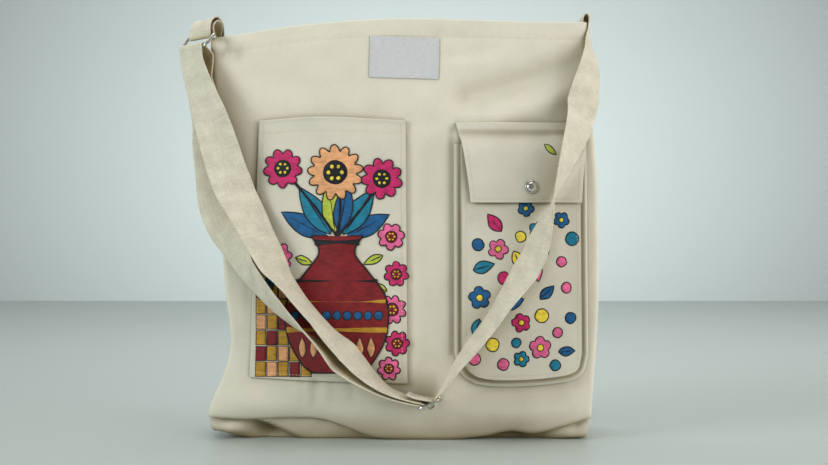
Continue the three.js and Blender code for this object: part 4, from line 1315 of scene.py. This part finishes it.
def bellows_pocket():
    piece = front_sheet(
        "pocket_right", bellows_eased, bellows_off, POCKET_WALL, BELLOWS_SIZE, STEP["pocket"], POCKET
    )
    dress(piece, "canvas", "right_pocket")


def bellows_edge(s):
    """Places along the pocket's edge: down the left, along the bottom, up the right."""
    side = BELLOWS_SIDE
    place = np.clip((s - side) / (1 - 2 * side), 0, 1)
    up = np.clip(np.maximum(1 - s / side, (s - 1 + side) / side), 0, 1)
    return *bellows_eased(place, up), up


def bellows_pleat():
    def middle(S, T):
        x, z, up = bellows_edge(S)
        x1, z1, _ = bellows_edge(np.minimum(S + PLEAT_STEP, 1))
        x0, z0, _ = bellows_edge(np.maximum(S - PLEAT_STEP, 0))
        run = np.hypot(x1 - x0, z1 - z0)
        out = along(PLEAT, "across", "out", T)
        full = bellows_stand(0 * S, up) - PLEAT_BACK
        low = PLEAT_WALL + 2 * GAP
        off = mix(low, full, along(PLEAT, "across", "rise", T)) - PLEAT_WALL / 2
        return on_front(x + (z1 - z0) / run * out, z - (x1 - x0) / run * out, off)

    piece = cloth("pocket_right_pleat", middle, PLEAT_SIZE, PLEAT_WALL, STEP["pleat"], POCKET)
    dress(piece, "canvas", "right_pocket_gusset")


def pocket_flap():
    piece = front_sheet(
        "flap", flap_spot, flap_off, POCKET_WALL, FLAP_SIZE, STEP["flap"], POCKET, turned_edge("flap")
    )
    dress(piece, "canvas", "pocket_flap")


def woven_label():
    size = (LABEL.width, LABEL.tall)
    piece = front_sheet("label_cloth", label_spot, label_off, LABEL_WALL, size, STEP["label"], SATIN)
    dress(piece, "label", "label")


def straps():
    piece, length = ribbon("webbing_strap", aligned(strap_rows()), STEP["strap"], WEBBING)
    dress(piece, "webbing", "strap")
    piece, length = ribbon("webbing_tab", tab_rows(), STEP["tab"], WEBBING)
    dress(piece, "webbing", "ring_tab")


def metal():
    size = RING_SIZE
    dress(wire_loop("ring_wire", RING, size.length, size.tall, size.corner, NICKEL), "metal", "ring")
    size = SLIDER_SIZE
    loop = wire_loop("slider_frame", SLIDER, size.length, 2 * size.pitch, size.corner, NICKEL)
    dress(loop, "metal", "slider")
    dress(round_bar("slider_bar", SLIDER, size.length - 2 * WIRE, NICKEL), "metal")
    dress(snap_dome(NICKEL), "metal", "snap_cap")
    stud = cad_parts["snap_stud"]
    stud.data.materials.clear()
    stud.data.materials.append(NICKEL)


HEM_SEAM = Values(half=182, height=395)
PATCH_SEAM = 5  # distance of the patch pocket's stitches from its edges
# Stitched lines: from s and t, to s and t, points
HEM_LINES = ((-0.985, 0, 0.985, 0, 260),)
FLAP_LINES = (
    (0.03, 0.925, 0.97, 0.925, 90), (0.03, 0.05, 0.97, 0.05, 90),
    (0.035, 0.05, 0.035, 0.9, 70), (0.965, 0.05, 0.965, 0.9, 70),
)
BELLOWS_LINES = (
    (0.03, 0.02, 0.03, 0.98, 150), (0.97, 0.02, 0.97, 0.98, 150), (0.03, 0.018, 0.97, 0.018, 90),
)


def sewn(name, spot, off_at, wall, lines, material=SEWING, slot="canvas", scale=1.0):
    """Stitches on a sheet. Each line runs from one place to another, in a number of points."""
    at = lift_of(off_at, wall)
    runs = []
    for s0, t0, s1, t1, count in lines:
        s, t = np.linspace((s0, t0), (s1, t1), count).T
        runs.append(at(*spot(s, t)))
    dress(stitches(name, runs, material, scale), slot)


def hem_spot(S, T):
    x = S * HEM_SEAM.half
    return x, edge(RIM, across_at(x, np.full_like(x, HEM_SEAM.height))) - HEM.down


def seams():
    """Every line of stitches that shows."""
    sewn("stitches_hem", hem_spot, lambda x, z: 0 * x, 0, HEM_LINES)
    tall = PATCH_SIZE.tall
    s, t, top = PATCH_SEAM / PATCH_SIZE.width, PATCH_SEAM / tall, 1 - PATCH_HEM.down / tall
    sewn("stitches_pocket_left", patch_spot, patch_off, POCKET_WALL, (
        (s, t, s, 1, 160), (1 - s, t, 1 - s, 1, 160), (s, t, 1 - s, t, 100), (s, top, 1 - s, top, 100),
    ))
    sewn("stitches_flap", flap_spot, flap_off, POCKET_WALL, FLAP_LINES)
    sewn("stitches_pocket_right", bellows_spot, bellows_off, POCKET_WALL, BELLOWS_LINES)
    s, t = LABEL.seam / LABEL.width, LABEL.seam / LABEL.tall
    corners = [(s, t), (1 - s, t), (1 - s, 1 - t), (s, 1 - t)]
    lines = [(*a, *b, 40) for a, b in zip(corners, corners[1:] + corners[:1])]
    sewn("stitches_label", label_spot, label_off, LABEL_WALL, lines, SATIN, "label", scale=0.7)


# Parts of a motif, as shares of its size, and the widths of the black lines
FLOWER = Values(lean=0.01, heart=0.42, dots=6, ring=0.24, dot=0.07, points=8)
VEIN = Values(share=0.8, width=1.1)
LINES = Values(
    petals=1.1, heart=1.0, leaf=1.1, tile=0.9, jar=1.6, band=0.8, dot=0.9, small=1.0,
)
PAINT_SEEDS = Values(left=71, right=83, flap=84, scatter=12)


def flower(picture, x, z, radius, petals, colour, heart):
    """Daisy with a round heart and a ring of dots in it."""
    picture.add(colour, daisy(x, z, radius, petals, FLOWER.lean * z), LINES.petals)
    picture.add(heart, disc(x, z, radius * FLOWER.heart), LINES.heart)
    for dot_x, dot_z in disc(x, z, radius * FLOWER.ring, FLOWER.dots):
        picture.add("yellow", disc(dot_x, dot_z, radius * FLOWER.dot, FLOWER.points))


def veined_leaf(picture, x, z, length, width, turn, colour):
    picture.add(colour, leaf(x, z, length, width, turn), LINES.leaf)
    picture.add("black", leaf(x, z, length * VEIN.share, VEIN.width, turn))


JAR = Values(x=-60, neck=196)
# Its outline, rows of height and half width
JAR_BODY = ((66, 24), (74, 33), (94, 45), (118, 50), (142, 45), (162, 30), (176, 19), (186, 18), (197, 25))
# Its bands: lower and upper edge, half width, colour
JAR_BANDS = (
    (104, 109, 48.6, "mustard"), (132, 136, 47.4, "mustard"),
    (152, 155, 38.5, "black"), (188, 193, 21, "black"),
)
JAR_DOTS = {"count": 9, "pitch": 10, "height": 120.5, "radius": 4.2}
JAR_DROPS = {"count": 7, "pitch": 11, "height": 80, "length": 20, "width": 7.5}
STEM = Values(lean=4, height=226, width=2.4, points=30)
# Large leaves at the jar's neck: x, z, length, width, turn, colour
JAR_LEAVES = (
    (-70, 196, 50, 20, 152, "blue"), (-66, 198, 56, 21, 124, "teal"), (-62, 200, 50, 19, 98, "lime"),
    (-50, 196, 46, 19, 28, "blue"), (-54, 198, 54, 21, 56, "teal"), (-58, 200, 50, 18, 80, "blue"),
)
SIDE_LEAVES = (
    (-16, 178, 20, 8, 205, "lime"), (-12, 144, 18, 8, 160, "lime"), (-14, 108, 18, 8, 200, "lime"),
    (-100, 176, 18, 8, 340, "lime"), (-128, 196, 22, 9, 100, "blue"), (-124, 160, 22, 9, 262, "blue"),
)
# Flowers: x, z, radius, petals, colour, heart. The first three stand on stems in the jar.
LEFT_FLOWERS = (
    (-62, 258, 27, 13, "peach", "black"), (-113, 262, 19, 9, "magenta", "black"),
    (-17, 252, 20, 9, "magenta", "black"), (-118, 176, 15, 8, "pink", "red"),
    (-8, 196, 13, 7, "pink", "red"), (-3, 160, 12, 7, "magenta", "red"), (-7, 126, 14, 8, "pink", "red"),
    (-2, 94, 12, 7, "magenta", "red"), (-10, 70, 11, 7, "pink", "red"),
)
MAT = Values(left=-138, foot=62, columns=5, rows=6, wide=11, tall=15, gap=1.2)
MAT_COLOURS = ("mustard", "peach", "mustard", "red")


def paint_mat(picture):
    """Tiles in rows that get shorter upwards."""
    wide, tall = MAT.wide, MAT.tall
    for row in range(MAT.rows):
        for column in range(MAT.columns - row // 2):
            x, z = MAT.left + wide * column, MAT.foot + tall * row
            x1, z1 = x + wide - MAT.gap, z + tall - MAT.gap
            colour = MAT_COLOURS[(column + 3 * row) % len(MAT_COLOURS)]
            picture.add(colour, np.array([(x, z), (x1, z), (x1, z1), (x, z1)], float), LINES.tile)


def paint_jar(picture):
    """Jar with bands, a row of dots and a row of drops."""
    centre = JAR.x
    picture.add("red", profile(centre, JAR_BODY), LINES.jar)
    for low, high, half, colour in JAR_BANDS:
        rows = ((low, half), ((low + high) / 2, half), (high, half))
        picture.add(colour, profile(centre, rows), LINES.band)
    count, pitch, height, radius = JAR_DOTS.values()
    for k in range(count):
        picture.add("blue", disc(centre + (k - (count - 1) / 2) * pitch, height, radius), LINES.dot)
    count, pitch, height, length, width = JAR_DROPS.values()
    for k in range(count):
        drop = leaf(centre + (k - (count - 1) / 2) * pitch, height, length, width, 90)
        picture.add("peach", drop, LINES.dot)


def paint_left():
    """Generic painted pattern on the patch pocket: a jar of leaves and daisies beside a mat."""
    picture = Painting(lambda x, z: patch_off(x, z) + POCKET_WALL, PAINT_SEEDS.left)
    paint_mat(picture)
    for spec in JAR_LEAVES + SIDE_LEAVES:
        veined_leaf(picture, *spec)
    for x, z, *_ in LEFT_FLOWERS[:3]:
        bend = ((JAR.x + x) / 2 + STEM.lean, STEM.height)
        points = np.array([(JAR.x, JAR.neck), bend, (x, z)], float)
        line = catmull(points, np.linspace(0, 2, STEM.points))
        picture.add("black", brush_line(line, STEM.width))
    for spec in LEFT_FLOWERS:
        flower(picture, *spec)
    paint_jar(picture)
    picture.build("paint_left")


# Scatter on the bellows pocket: its field, the motifs' sizes, their number and spacing, how thin it
# gets on the left, and the parts of a motif as shares of its size
SCATTER = Values(
    left=69, right=166, foot=73, top=226, small=7.2, large=11, count=46, space=0.2,
    tries=4000, thin=0.45, petals=5, heart=0.3, leaf=1.1, dot=0.62,
)
SCATTER_COLOURS = ("teal", "pink", "yellow", "blue", "magenta", "teal", "pink", "blue")
FLAP_LEAF = (140, 285, 15, 6, -44)


def motif(picture, kind, x, z, size, turn, colour):
    """A daisy, a leaf or a berry."""
    if kind == 0:
        heart = "red" if colour == "yellow" else "yellow"
        picture.add(colour, daisy(x, z, size, SCATTER.petals, math.radians(turn)), LINES.small)
        picture.add(heart, disc(x, z, size * SCATTER.heart), LINES.band)
    elif kind == 1:
        a = math.radians(turn)
        foot = (x - size * math.cos(a), z - size * math.sin(a))
        veined_leaf(picture, *foot, 2 * size, SCATTER.leaf * size, turn, colour)
    else:
        picture.add(colour, disc(x, z, size * SCATTER.dot), LINES.small)


def paint_right():
    """Generic scatter of daisies, leaves and berries, thinning out upwards and to the left."""
    picture = Painting(lambda x, z: bellows_off(x, z) + POCKET_WALL, PAINT_SEEDS.right)
    random = np.random.default_rng(PAINT_SEEDS.scatter)
    placed = []
    for _ in range(SCATTER.tries):
        share, up = random.uniform(0, 1, 2)
        x = mix(SCATTER.left, SCATTER.right, share)
        z = mix(SCATTER.foot, SCATTER.top, up)
        size = random.uniform(SCATTER.small, SCATTER.large)
        kind, turn, chance = random.integers(0, 3), random.uniform(0, 360), random.uniform()
        crowded = any(math.hypot(x - a, z - b) < size + other + SCATTER.space for a, b, other in placed)
        wanted = chance <= (1 - up) * mix(SCATTER.thin, 1, share)
        if wanted and not crowded and len(placed) < SCATTER.count:
            placed.append((x, z, size))
            motif(picture, kind, x, z, size, turn, SCATTER_COLOURS[len(placed) % len(SCATTER_COLOURS)])
    picture.build("paint_right")
    picture = Painting(lambda x, z: flap_off(x, z) + POCKET_WALL, PAINT_SEEDS.flap)
    picture.add("lime", leaf(*FLAP_LEAF), LINES.small)
    picture.build("paint_flap")


# Stage: floor, wall, lights and camera, in metres

STAGE = {"wide": 5.0, "near": -2, "far": 2.5, "high": 5}
WORLD = Values(colour=(0.95, 0.93, 0.86, 1), strength=0.22)
# Lights: name, place, aim, size, power, colour and whether it is seen in shiny things
LIGHTS = (
    ("key", (-1.9, -1.15, 1.0), (0, 0, 0.2), (0.8, 0.8), 30, (0.94, 1.0, 0.985), True),
    ("fill", (1.85, -1.0, 0.6), (0, 0, 0.15), (2.8, 1.3), 43, (1.0, 0.965, 0.93), False),
    ("top", (0.0, 0.0, 1.7), (0, 0, 0.2), (1.4, 1.0), 10, (1.0, 0.99, 0.97), True),
    ("back", (0.05, 0.9, 1.9), (0.05, 2.5, 0.3), (3.0, 1.0), 31, (0.95, 0.99, 1.0), True),
)


def stage_plane(name, corners, material):
    mesh = bpy.data.meshes.new(name)
    mesh.from_pydata(corners, [], [(0, 1, 2, 3)])
    mesh.materials.append(material)
    piece = bpy.data.objects.new(name, mesh)
    bpy.context.scene.collection.objects.link(piece)


def area_light(name, place, aim, size, power, colour, mirrored):
    data = bpy.data.lights.new(name, "AREA")
    data.shape = "RECTANGLE"
    data.size, data.size_y = size
    data.energy = power
    data.color = colour
    lamp = bpy.data.objects.new(name, data)
    bpy.context.scene.collection.objects.link(lamp)
    lamp.visible_glossy = mirrored
    lamp.location = place
    direction = np.array(aim, float) - np.array(place, float)
    lamp.rotation_euler = (
        math.atan2(math.hypot(direction[0], direction[1]), -direction[2]),
        0,
        math.atan2(direction[1], direction[0]) - math.pi / 2,
    )


def studio():
    wide, near, far, high = STAGE.values()
    floor = [(-wide, near, 0), (wide, near, 0), (wide, far, 0), (-wide, far, 0)]
    wall = [(-wide, far, 0), (wide, far, 0), (wide, far, high), (-wide, far, high)]
    stage_plane("floor", floor, tabletop())
    stage_plane("backdrop", wall, backdrop())
    for light in LIGHTS:
        area_light(*light)
    world = bpy.data.worlds.new("studio")
    world.use_nodes = True
    background = world.node_tree.nodes["Background"]
    background.inputs["Color"].default_value = WORLD.colour
    background.inputs["Strength"].default_value = WORLD.strength
    bpy.context.scene.world = world
    bpy.context.scene.view_settings.view_transform = "Standard"


def camera():
    data = bpy.data.cameras.new("camera")
    data.sensor_width = CAMERA.sensor
    data.lens = CAMERA.sensor * CAMERA.focus / CAMERA.picture
    data.clip_start, data.clip_end = CAMERA.clip
    eye = bpy.data.objects.new("camera", data)
    bpy.context.scene.collection.objects.link(eye)
    eye.location = (CAMERA.x * MM, CAMERA.y * MM, CAMERA.z * MM)
    eye.rotation_euler = (math.pi / 2, 0, 0)
    bpy.context.scene.camera = eye


camera()
studio()
straps()
metal()
bag_panels()
patch_pocket()
bellows_pocket()
bellows_pleat()
pocket_flap()
woven_label()
seams()
paint_left()
paint_right()
